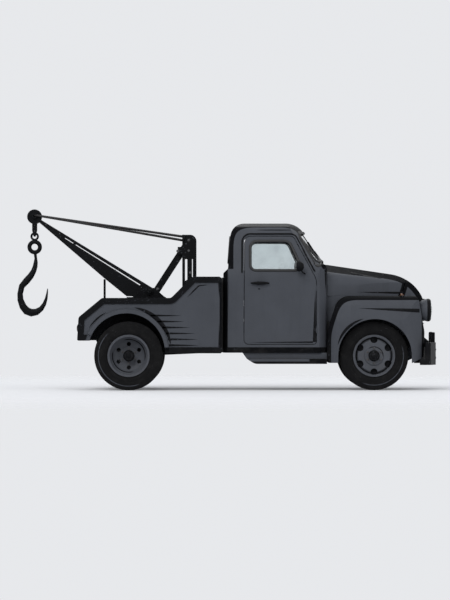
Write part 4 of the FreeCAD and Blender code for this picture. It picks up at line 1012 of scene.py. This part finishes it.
def grille():
    """Rounded bars in front of the nose slots, with a screen of wire behind them, and the bumper's bolts."""
    nose = surface("nose_panel")
    slot_low, pitch, slot_high, count, half = 0.760, 0.060, 0.040, 7, 0.250
    heap = Heap()
    for i in range(count + 1):
        z = slot_low + i * pitch - (pitch - slot_high) / 2
        points, _ = line_up(nose, [((4, -half + 2 * half * k / 24, z), AFT) for k in range(25)])
        if len(points) > 3:
            heap.add(sweep(points, bead_section(0.017, 0.009), False, FORE))
    heap.make("grille_bars", "chrome", smooth=50)
    mesh = Heap()
    x, top = nose_low.x + 0.075, slot_low + count * pitch
    for k in range(31):
        y = -half + 2 * half * k / 30
        mesh.add(sweep([(x, y, slot_low - 0.01), (x, y, top)], circle(0.0016, 5), False, FORE))
    for k in range(27):
        z = slot_low + (top - slot_low) * k / 26
        mesh.add(sweep([(x + 0.003, -half, z), (x + 0.003, half, z)], circle(0.0016, 5)))
    mesh.make("grille_screen", "steel", smooth=60)
    heap = Heap()
    places = line_up(surface("front_bumper"), [((4, y, z), AFT) for y in (-0.62, -0.40, 0.40, 0.62)
                                               for z in (0.42, 0.53)])
    for place, normal in zip(*places):
        heap.add(dome(0.017, 0.009, 20), facing(place, normal))
    heap.make("bumper_bolts", "steel", smooth=50)


# ---- wrecker body ----
# ends of the row of painted-shade strokes ahead of each rear wheel arch
SHADE_STROKE_ENDS = (0.716, 0.756, 0.83, 0.897, 0.93, 0.947)
WING_ARC_STEPS = 19


def shade_and_seam_lines():
    """Tapered black lines raised on the panels, most of them painted shade: under the door sills, along the hood and
    wings, round the wheel arches, at the body's bend and in a row of strokes ahead of each rear arch; the rest are
    dark seams at the door, cowl and body front. Each stroke has its points, width, height and belly.
    """
    axle_x, wing_z, reach = front_axle_at.x, wing_high.z, tyre_radius + 0.103
    cowl, front, top = cab_high.x - 0.015, body_high.x - 0.034, body_high.z
    bend = body_high.x - 0.298
    wing_arc = []
    for i in range(WING_ARC_STEPS + 1):
        a, t = radians(164 - 57 * i / WING_ARC_STEPS), i / WING_ARC_STEPS
        r = tyre_radius + 0.056 + 0.006 * sin(pi * t)
        wing_arc.append((axle_x + 0.01 + r * cos(a), front_axle_at.z + r * sin(a)))
    body = [(arc_points(REAR_ARCH, reach + 0.034, 80, 9, 36), 0.062, 0.004, 0.7),
            (arc_points(REAR_ARCH, reach + 0.024, 147, 117), 0.022, 0.004, 0.8),
            ([(front, top - 0.27), (front, top - 0.07)], 0.028, 0.003),
            ([(front, body_low.z + 0.40), (front, body_low.z + 0.07)], 0.024, 0.003),
            ([(bend - 0.150, top - 0.268), (bend, top - 0.118), (bend + 0.125, top - 0.106)], 0.020, 0.003, 0.8)]
    # the row of raised black strokes ahead of the rear arch is painted shade
    for i, end in enumerate(SHADE_STROKE_ENDS):
        z = rear_axle_at.z + 0.525 - 0.0775 * i
        start = REAR_ARCH.x + sqrt((reach + 0.012) ** 2 - (z - REAR_ARCH.z) ** 2)
        body.append(([(REAR_ARCH.x + end, z), (start, z + 0.002)], 0.032))
    for side, way in SIDES.items():
        door = side + "_door"
        low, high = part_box(door)
        for name, node, rides_on, strokes in (
                (door + "_lines", door, door,
                 [([(low.x + 0.07, low.z + 0.022), (high.x - 0.05, low.z + 0.026)], 0.022),
                  ([(high.x - 0.020, low.z + 0.70), (high.x - 0.030, low.z + 0.03)], 0.05)]),
                (side + "_cowl_line", "cab_shell", "chassis",
                 [([(cowl, COWL_Z - 0.345), (cowl, COWL_Z - 0.04)], 0.034)]),
                (side + "_hood_line", "hood", "hood",
                 [([(axle_x - 0.216, wing_z + 0.052), (hood_high.x - 0.035, wing_z + 0.040)], 0.034),
                  ([(axle_x + 0.13, COWL_Z - 0.186), (axle_x - 0.29, COWL_Z - 0.110)], 0.026, 0.003)]),
                (side + "_fender_line", side + "_front_fender", "chassis",
                 [([(axle_x - 0.20, wing_z - 0.161), (wing_high.x - 0.07, wing_z - 0.192)], 0.055),
                  (wing_arc, 0.04, 0.004, 0.8)]),
                (side + "_body_lines", side + "_body_side", "chassis", body)):
            tree, heap = surface(node), Heap()
            for stroke in strokes:
                heap.add(spear(tree, way, *stroke))
            heap.make(name, "black", rides_on, 50)


def arch_details():
    """Black wall that closes each rear wheel well, and the rubber between cab, body and wings."""
    for side, way in SIDES.items():
        inner, outer = (arc_points(REAR_ARCH, tyre_radius + r, 5, 156, 49) for r in (-0.09, 0.052))
        ring = [(x, way * y, z) for i in range(49) for y, line in ((0.512, inner), (0.512, outer), (0.520, outer),
                                                                  (0.520, inner)) for x, z in (line[i],)]
        Heap().add(tube(ring, 4)).make(side + "_wheel_well", "frame", smooth=30)
    seal, strips = Heap(), Heap()
    for way in SIDES.values():
        for k in range(5):
            near = 0.56 + 0.045 * k
            y0, y1 = sorted((way * near, way * (near + 0.03)))
            seal.add(box_mesh((body_high.x - 0.004, y0, body_low.z + 0.01),
                              (cab_low.x + 0.004, y1, body_high.z - 0.012), 0.003))
        y0, y1 = sorted((way * 0.650, way * 0.668))
        strips.add(box_mesh((cab_high.x + 0.001, y0, 0.60), (cab_high.x + 0.045, y1, wing_high.z - 0.02), 0.003))
    seal.make("cab_body_seal", "rubber")
    strips.make("cowl_seals", "rubber")


def deck_plate():
    """Raised diamond bars over the deck, except where the crane stands."""
    feet = [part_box(n) for n in ("mast", "boom_bracket", "mast_braces", "boom_rest")]
    room, pitch, long, wide, high = 0.03, 0.052, 0.0155, 0.0038, 0.0022
    bar = prism([(-long, 0), (0, -wide), (long, 0), (0, wide)],
                [(-long * 0.7, 0), (0, -wide * 0.55), (long * 0.7, 0), (0, wide * 0.55)], -0.0004, high)
    heap = Heap()
    for i in range(int((deck_high.x - deck_low.x - 0.06) / pitch)):
        for j in range(int((deck_high.y - deck_low.y - 0.04) / pitch)):
            x, y = deck_low.x + 0.045 + pitch * i, deck_low.y + 0.035 + pitch * j
            if any(low.x - room < x < top.x + room and low.y - room < y < top.y + room
                   and low.z < deck_high.z + 0.05 for low, top in feet):
                continue
            turn = Matrix.Rotation(radians(45 if (i + j) % 2 else -45), 4, "Z")
            heap.add(bar, Matrix.Translation((x, y, deck_high.z)) @ turn)
    heap.make("deck_tread", "deck_bars", smooth=0)


# ---- crane ----
def crane_fittings():
    """Bolts, pins and rivets of the mast, braces, boom and hook yoke."""
    mast, brace = surface("mast"), surface("mast_braces")
    boom, bracket, yoke = surface("boom", "boom_sheave"), surface("boom_bracket", "boom"), surface("hook_yoke")
    brace_low, brace_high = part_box("mast_braces")
    head = pin("hook_swing")
    fixed, moving, hung = Heap(), Heap(), Heap()
    for x in (mast_low.x + 0.020, mast_high.x - 0.018):
        for y in (-0.255, -0.12, 0.12, 0.255):
            place, _ = hit(mast, (x, y, FAR), DOWN)
            if place and place.z < deck_high.z + 0.05:
                fixed.add(bolt(0.012, 0.014), facing(place, UP))
    for side, way in SIDES.items():
        aside = lambda *spots: [(x, way * 2.0, z) for x, z in spots]
        inward = (0, -way, 0)
        fixed.studs(mast, aside((mast_low.x + 0.125, mast_high.z - 0.07), (mast_low.x + 0.125, mast_high.z - 0.21),
                                (mast_low.x + 0.145, 1.54), (mast_low.x + 0.145, 1.33)), inward, bolt(0.011, 0.012))
        fixed.studs(brace, aside((brace_high.x - 0.06, brace_high.z - 0.085),
                                 (brace_low.x + 0.045, brace_low.z + 0.045)), inward, bolt(0.013, 0.014))
        Heap().studs(bracket, aside((boom_pivot.x, boom_pivot.z)), inward, bolt(0.034, 0.026)).make(
            side + "_pivot_nut", "crane", smooth=30)
        for share in (0.10, 0.22, 0.34, 0.46, 0.58, 0.70, 0.82, 0.93):
            p = head.lerp(boom_pivot, share)
            moving.studs(boom, aside((p.x, p.z - 0.005 - 0.0125 * share)), inward, dome(0.008, 0.005, 14))
        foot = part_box("hook_yoke")[0].z
        hung.studs(yoke, aside((head.x, foot + 0.152), (head.x, foot + 0.074)), inward, dome(0.0105, 0.006, 18))
    fixed.make("mast_bolts", "nut", smooth=30)
    moving.make("boom_rivets", "nut", "boom", 30)
    hung.make("yoke_rivets", "bare", "tow_hook", 30)


def winch_rope():
    """Rope wound on the winch drum, one layer and a half, and the gear beside it."""
    low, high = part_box("winch")
    centre = (low + high) / 2
    thick, per = 0.0062, 24
    heap = Heap()
    drum = 0.062
    for radius, turns, first, width in ((drum + thick, 22, -0.142, 0.284), (drum + 2.85 * thick, 10, 0.142, -0.129)):
        points = []
        for i in range(turns * per + 1):
            x, z = round_at(i, per, radius)
            points.append(centre + Vector((x, first + width * i / (turns * per), z)))
        heap.add(sweep(points, circle(thick), False, [Vector((0, 1, 0.01))] * len(points)))
    heap.make("winch_rope", "rope", smooth=60)
    count = 4 * 40       # points round forty teeth
    ring = [round_at(i, count, 0.080 if i % 4 in (1, 2) else 0.074) for i in range(count)]
    at = (centre.x, -0.1665, centre.z)
    gear = Heap().add(tube([(u, v, z) for z in (0.0, 0.012) for u, v in ring], count), facing(at, (0, -1, 0)))
    gear.turned(mm(0,10, 30,10, 30,20, 22,26, 0,26), 28, at, (0, -1, 0))
    gear.make("winch_gear", "iron", smooth=30)


STAY_RADIUS = 0.014


def stay_wires():
    """Wire stays in place of the frame's rods. Their mast eyes turn with them, and their end rings stay on the boom's
    pin."""
    anchor, head = pin("stay_swing"), pin("hook_swing")
    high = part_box("stay_cables")[1]
    ends = [abs(v.co.y) for v in nodes["stay_cables"].data.vertices if v.co.x < head.x + 0.02]
    far_y, lower, rise = (min(ends) + max(ends)) / 2, 0.050, 0.022
    strands, steps, lay = 6, 170, 0.16
    section = [round_at(k, 24, STAY_RADIUS * (0.86 + 0.14 * abs(cos(strands * pi * k / 24)))) for k in range(24)]
    ropes, eyes, rings = Heap(), Heap(), Heap()
    for way in SIDES.values():
        for drop in (0, lower):
            start = Vector((anchor.x, way * (high.y - STAY_RADIUS), anchor.z - drop))
            end = Vector((head.x, way * far_y, head.z + rise))
            length = (end - start).length
            side = (end - start).normalized().cross(UP).normalized()
            up = side.cross((end - start).normalized())
            turns = [2 * pi * length * i / steps / lay for i in range(steps + 1)]
            ropes.add(sweep([start.lerp(end, i / steps) for i in range(steps + 1)], section, False,
                            [up * cos(a) + side * sin(a) for a in turns]))
        out = Vector((0, way, 0))
        y = way * (high.y - 2 * STAY_RADIUS - 0.003)
        eyes.turned(mm(13.5,0, 22,0, 24,3, 24,28, 22,31, 13.5,31), 32, (anchor.x, y, anchor.z),
                    out, closed=True)
        eyes.turned(mm(0,0, 12,0, 12,34, 9,37, 0,37), 24, (anchor.x, y, anchor.z - lower), out)
        y0, y1 = sorted((way * (high.y - 0.002), way * (high.y + 0.002)))
        eyes.add(box_mesh((anchor.x - 0.014, y0 - 0.001, anchor.z - lower - 0.012),
                          (anchor.x + 0.014, y1 + 0.001, anchor.z + 0.012), 0.002))
        rings.turned(mm(17,0, 33,0, 36,3, 36,25, 33,28, 17,28), 40,
                     (head.x, way * min(ends), head.z + 0.008), out, closed=True)
    made = ropes.make("stay_wires", "wire", "stays", 60)
    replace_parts(made, "stay_cables")
    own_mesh(made)
    eyes.make("stay_eyes", "crane", "stays", 30)
    rings.make("stay_end_rings", "crane", "boom", 30)


def board_ribs():
    """Rubber ribs along the running boards."""
    heap = Heap()
    for way in SIDES.values():
        for k in range(9):
            y = way * (0.876 + 0.0065 * k)
            ends = [(board_low.x + 0.06, y, board_high.z), (board_high.x - 0.03, y, board_high.z)]
            heap.add(sweep(ends, bead_section(0.0042, 0.003)))
    heap.make("board_ribs", "rubber", smooth=60)


# ---- cabin ----
def rounded_pad(low, high, crown, pull=0.03):
    """Closed form of a cushion: crowned faces whose sides pull in between the corners."""
    work = bmesh.new()
    bmesh.ops.create_cube(work, size=2)
    bmesh.ops.subdivide_edges(work, edges=work.edges[:], cuts=11, use_grid_fill=True)
    half, centre = (high - low) / 2, (high + low) / 2
    for v in work.verts:
        u = v.co.copy()
        p = u * half
        for axis in range(3):
            a, b = (k for k in range(3) if k != axis)
            bulge = (1 - u[a] ** 2) * (1 - u[b] ** 2)
            p[axis] += (bulge - 1) * crown[axis] * (1 if u[axis] > 0 else -1) * abs(u[axis])
        corner = max(min(abs(u[a]), abs(u[b])) for a, b in ((0, 1), (1, 2), (0, 2)))
        shrink = 1 - pull * max(0.0, corner - 0.72) / 0.28
        v.co = centre + Vector([c * shrink for c in p])
    return from_bmesh(work)


def apply_modifiers(made):
    graph = bpy.context.evaluated_depsgraph_get()
    mesh = bpy.data.meshes.new_from_object(made.evaluated_get(graph))
    made.modifiers.clear()
    mesh.name, made.data = made.data.name, mesh
    for face in mesh.polygons:
        face.use_smooth = True


def swollen(made, cap):
    """Cloth pressure on a remeshed copy of the pad, with every move capped, applied."""
    modifier = made.modifiers.new("voxels", "REMESH")
    modifier.mode, modifier.voxel_size = "VOXEL", 0.012
    apply_modifiers(made)
    rest = [v.co.copy() for v in made.data.vertices]
    settings = made.modifiers.new("cloth", "CLOTH").settings
    settings.use_pressure, settings.uniform_pressure_force, settings.quality = True, 4, 5
    settings.effector_weights.gravity = 0
    for frame_number in range(1, 21):
        scene.frame_set(frame_number)
    apply_modifiers(made)
    scene.frame_set(1)
    for v, start in zip(made.data.vertices, rest):
        move = v.co - start
        if move.length > cap:
            v.co = start + move * (cap / move.length)
    made.modifiers.new("finer", "SUBSURF").levels = 1
    apply_modifiers(made)


def channelled(made, depth, normal_axis, level):
    """Sewn channels down the pad's outer face, which lies at that level, pressed in after the cloth."""
    pitch = 0.11
    for v in made.data.vertices:
        away = abs(v.co.y / pitch - round(v.co.y / pitch)) * pitch
        share = max(0.0, min(1.0, 1 - abs(v.co[normal_axis] - level) / 0.05))
        v.co[normal_axis] -= depth * exp(-(away / 0.011) ** 2) * share
    made.data.update()


def seat():
    """Bench seat in place of the frame's block: sprung cushion and back with channels and piping."""
    low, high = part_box("bench_seat")
    y0, y1 = low.y + 0.012, high.y - 0.012
    block = box_mesh((low.x + 0.04, low.y + 0.02, low.z), (high.x - 0.05, high.y - 0.02, low.z + 0.15), 0.012)
    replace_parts(Heap().add(block).make("seat_base", "frame"), "bench_seat")
    top, face = SEAT_TOP - 0.012, low.x + 0.172
    for name, start, end, crown, cap, depth, axis, level, fill in (
            ("seat_cushion", (low.x + 0.10, y0, low.z + 0.155), (high.x - 0.012, y1, top),
             (0.020, 0.020, 0.022), 0.016, 0.018, 2, top, 0.7),
            ("seat_back", (low.x + 0.012, y0, SEAT_TOP + 0.004), (face, y1, high.z - 0.012),
             (0.018, 0.020, 0.020), 0.014, 0.017, 0, face - 0.012, 0.65)):
        pad = Heap().add(rounded_pad(Vector(start), Vector(end), crown)).make(name, "vinyl", smooth=80)
        swollen(pad, cap)
        channelled(pad, depth, axis, level)
    z, x0, x1 = SEAT_TOP - 0.045, low.x + 0.13, high.x - 0.016
    ring = [(x0, low.y + 0.02), (x1 - 0.03, low.y + 0.02), (x1, low.y + 0.05),
            (x1, high.y - 0.05), (x1 - 0.03, high.y - 0.02), (x0, high.y - 0.02)]
    Heap().add(sweep([(x, y, z) for x, y in ring], circle(0.0045))).make("seat_piping", "rubber", "chassis", 60,
                                                                        "seat_vinyl")


def dials():
    """Gauges, their ticks and needles, and the knobs below them."""
    low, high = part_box("dashboard")
    tree = surface("dashboard")
    column_y = joints["steering_wheel_turn"]["pos_m"][1]
    out = Vector((-1, 0, 0.25)).normalized()
    dark, pale = Heap(), Heap()
    needle = prism([(-0.008, -0.002), (0.040, -0.0006), (0.040, 0.0006), (-0.008, 0.002)],
                   [(-0.008, -0.002), (0.040, -0.0006), (0.040, 0.0006), (-0.008, 0.002)], 0.004, 0.0055)
    z = (low.z + high.z) / 2 + 0.035
    for dy in (-0.085, 0.085):
        place, _ = hit(tree, (0.2, column_y + dy, z), (1, 0, 0))
        dark.turned(mm(56,-6, 60,-6, 62,6, 58,10, 52,6), 40, place, out, closed=True)
        pale.turned(mm(0,-2, 53,-2, 53,3, 0,3), 40, place, out)
        for k in range(9):
            tick = Matrix.Rotation(radians(-40 + 260 * k / 8), 4, "Z") @ Matrix.Translation((0.043, 0, 0.0035))
            dark.add(box_mesh((-0.006, -0.0012, 0), (0.006, 0.0012, 0.001)), facing(place, out) @ tick)
        dark.add(needle, facing(place, out) @ Matrix.Rotation(radians(200), 4, "Z"))
    knob = lathe(mm(0,-4, 5,-4, 5,18, 11,20, 13,26, 11,33, 0,35), 20)
    dark.studs(tree, [(0.2, y, low.z + 0.09) for y in (-0.05, 0.0, 0.05, 0.10)], (1, 0, 0), knob)
    dark.make("dash_controls", "black", slot="interior")
    pale.make("dash_dials", "dial")


def controls():
    """Pedals and gear lever on the cab floor, and the horn button."""
    column_y = joints["steering_wheel_turn"]["pos_m"][1]
    floor = surface("cab_floor", "cab_shell")
    heap = Heap()
    for dy, wide in ((-0.13, 0.03), (0.0, 0.03), (0.13, 0.022)):
        place, _ = hit(floor, (cab_high.x - 0.30, column_y + dy, 1.2), DOWN)
        top = place + Vector((-0.02, 0, 0.20))
        arm = [place + Vector((0.08, 0, -0.005)), place + Vector((0.05, 0, 0.10)), top]
        heap.add(sweep(arm, circle(0.007), False, ACROSS))
        heap.add(box_mesh((-wide, -0.035, -0.004), (wide, 0.035, 0.006), 0.003), facing(top, (-0.8, 0, 0.6)))
    place, _ = hit(floor, (cab_high.x - 0.33, 0.0, 1.2), DOWN)
    lever = [place + Vector(v) for v in ((0, 0, 0), (-0.03, 0.0, 0.18), (-0.11, 0.01, 0.34), (-0.16, 0.015, 0.44))]
    heap.add(sweep(lever, circle(0.0075, 10), False, ACROSS))
    heap.turned(mm(0,-18, 12,-16, 21,-4, 21,6, 13,16, 0,19), 24, lever[-1], (-0.4, 0, 1))
    boot = mm(0,-2, 55,-2, 52,10, 40,16, 36,28, 26,33, 22,45, 12,50, 0,50)
    heap.turned(boot, 28, place, UP)
    heap.make("pedals_and_lever", "black", slot="interior")
    at, axis = pin("steering_wheel_turn"), Vector(joints["steering_wheel_turn"]["axis"])
    toward = axis if axis.x < 0 else -axis
    place, _ = hit(surface("steering_wheel"), at + toward * 0.3, -toward)
    button = mm(0,-10, 34,-10, 34,2, 30,8, 20,11, 18,9, 8,9.5, 0,10)
    Heap().turned(button, 36, place or at, toward).make("horn_button", "chrome", "steering_wheel")


def door_cards():
    """Inner trim of each door: a card, a window crank and a latch handle."""
    rows, columns = 10, 14
    for side, way in SIDES.items():
        door = side + "_door"
        low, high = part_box(door)
        tree, inner = surface(door), Vector((0, -way, 0))
        x0, x1, z0, z1 = low.x + 0.11, high.x - 0.16, low.z + 0.15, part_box(door + "_glass")[0].z - 0.11
        shell = []
        for i in range(rows + 1):
            front, back = [], []
            for j in range(columns + 1):
                x, z = x0 + (x1 - x0) * j / columns, z0 + (z1 - z0) * i / rows
                place, _ = hit(tree, (x, 0, z), (0, way, 0))
                y = place.y if place and abs(place.y) < abs(high.y if way > 0 else low.y) else way * 0.80
                inset = 0.008 if min(i, rows - i, j, columns - j) else 0.003
                front.append((x, y - way * inset, z))
                back.insert(0, (x, y + way * 0.001, z))
            shell += front + back
        Heap().add(tube(shell, 2 * columns + 2)).make(side + "_door_card", "card", door, 30)
        grips = Heap()
        for x, z, angle in ((low.x + 0.30, z1 - 0.06, 20), (low.x + 0.52, z1 - 0.12, -35)):
            place, _ = hit(tree, (x, 0, z), (0, way, 0))
            base = place + inner * 0.008
            grips.turned(mm(0,-3, 21,-3, 20,6, 10,10, 9,22, 0,23), 24, base, inner)
            end = base + inner * 0.024 + Vector((-cos(radians(angle)), 0, sin(radians(angle)))) * 0.11
            path = [base + inner * 0.018, base.lerp(end, 0.5) + inner * 0.014, end]
            grips.add(sweep(path, circle(0.006, 8, 0.7), False, ACROSS))
            if angle < 0:
                grips.turned(mm(0,-4, 9,-2, 11,12, 9,26, 0,28), 18, end, inner)
        grips.make(side + "_door_cranks", "chrome", door)


# ---- the scene ----
for build in (studio, finish_nodes, make_tyres, wheel_trim, window_trim, wipers, door_fittings, drip_rails,
              headlamps, small_lamps, grille, shade_and_seam_lines, arch_details, deck_plate, crane_fittings, winch_rope,
              stay_wires, board_ribs, seat, dials, controls, door_cards):
    build()
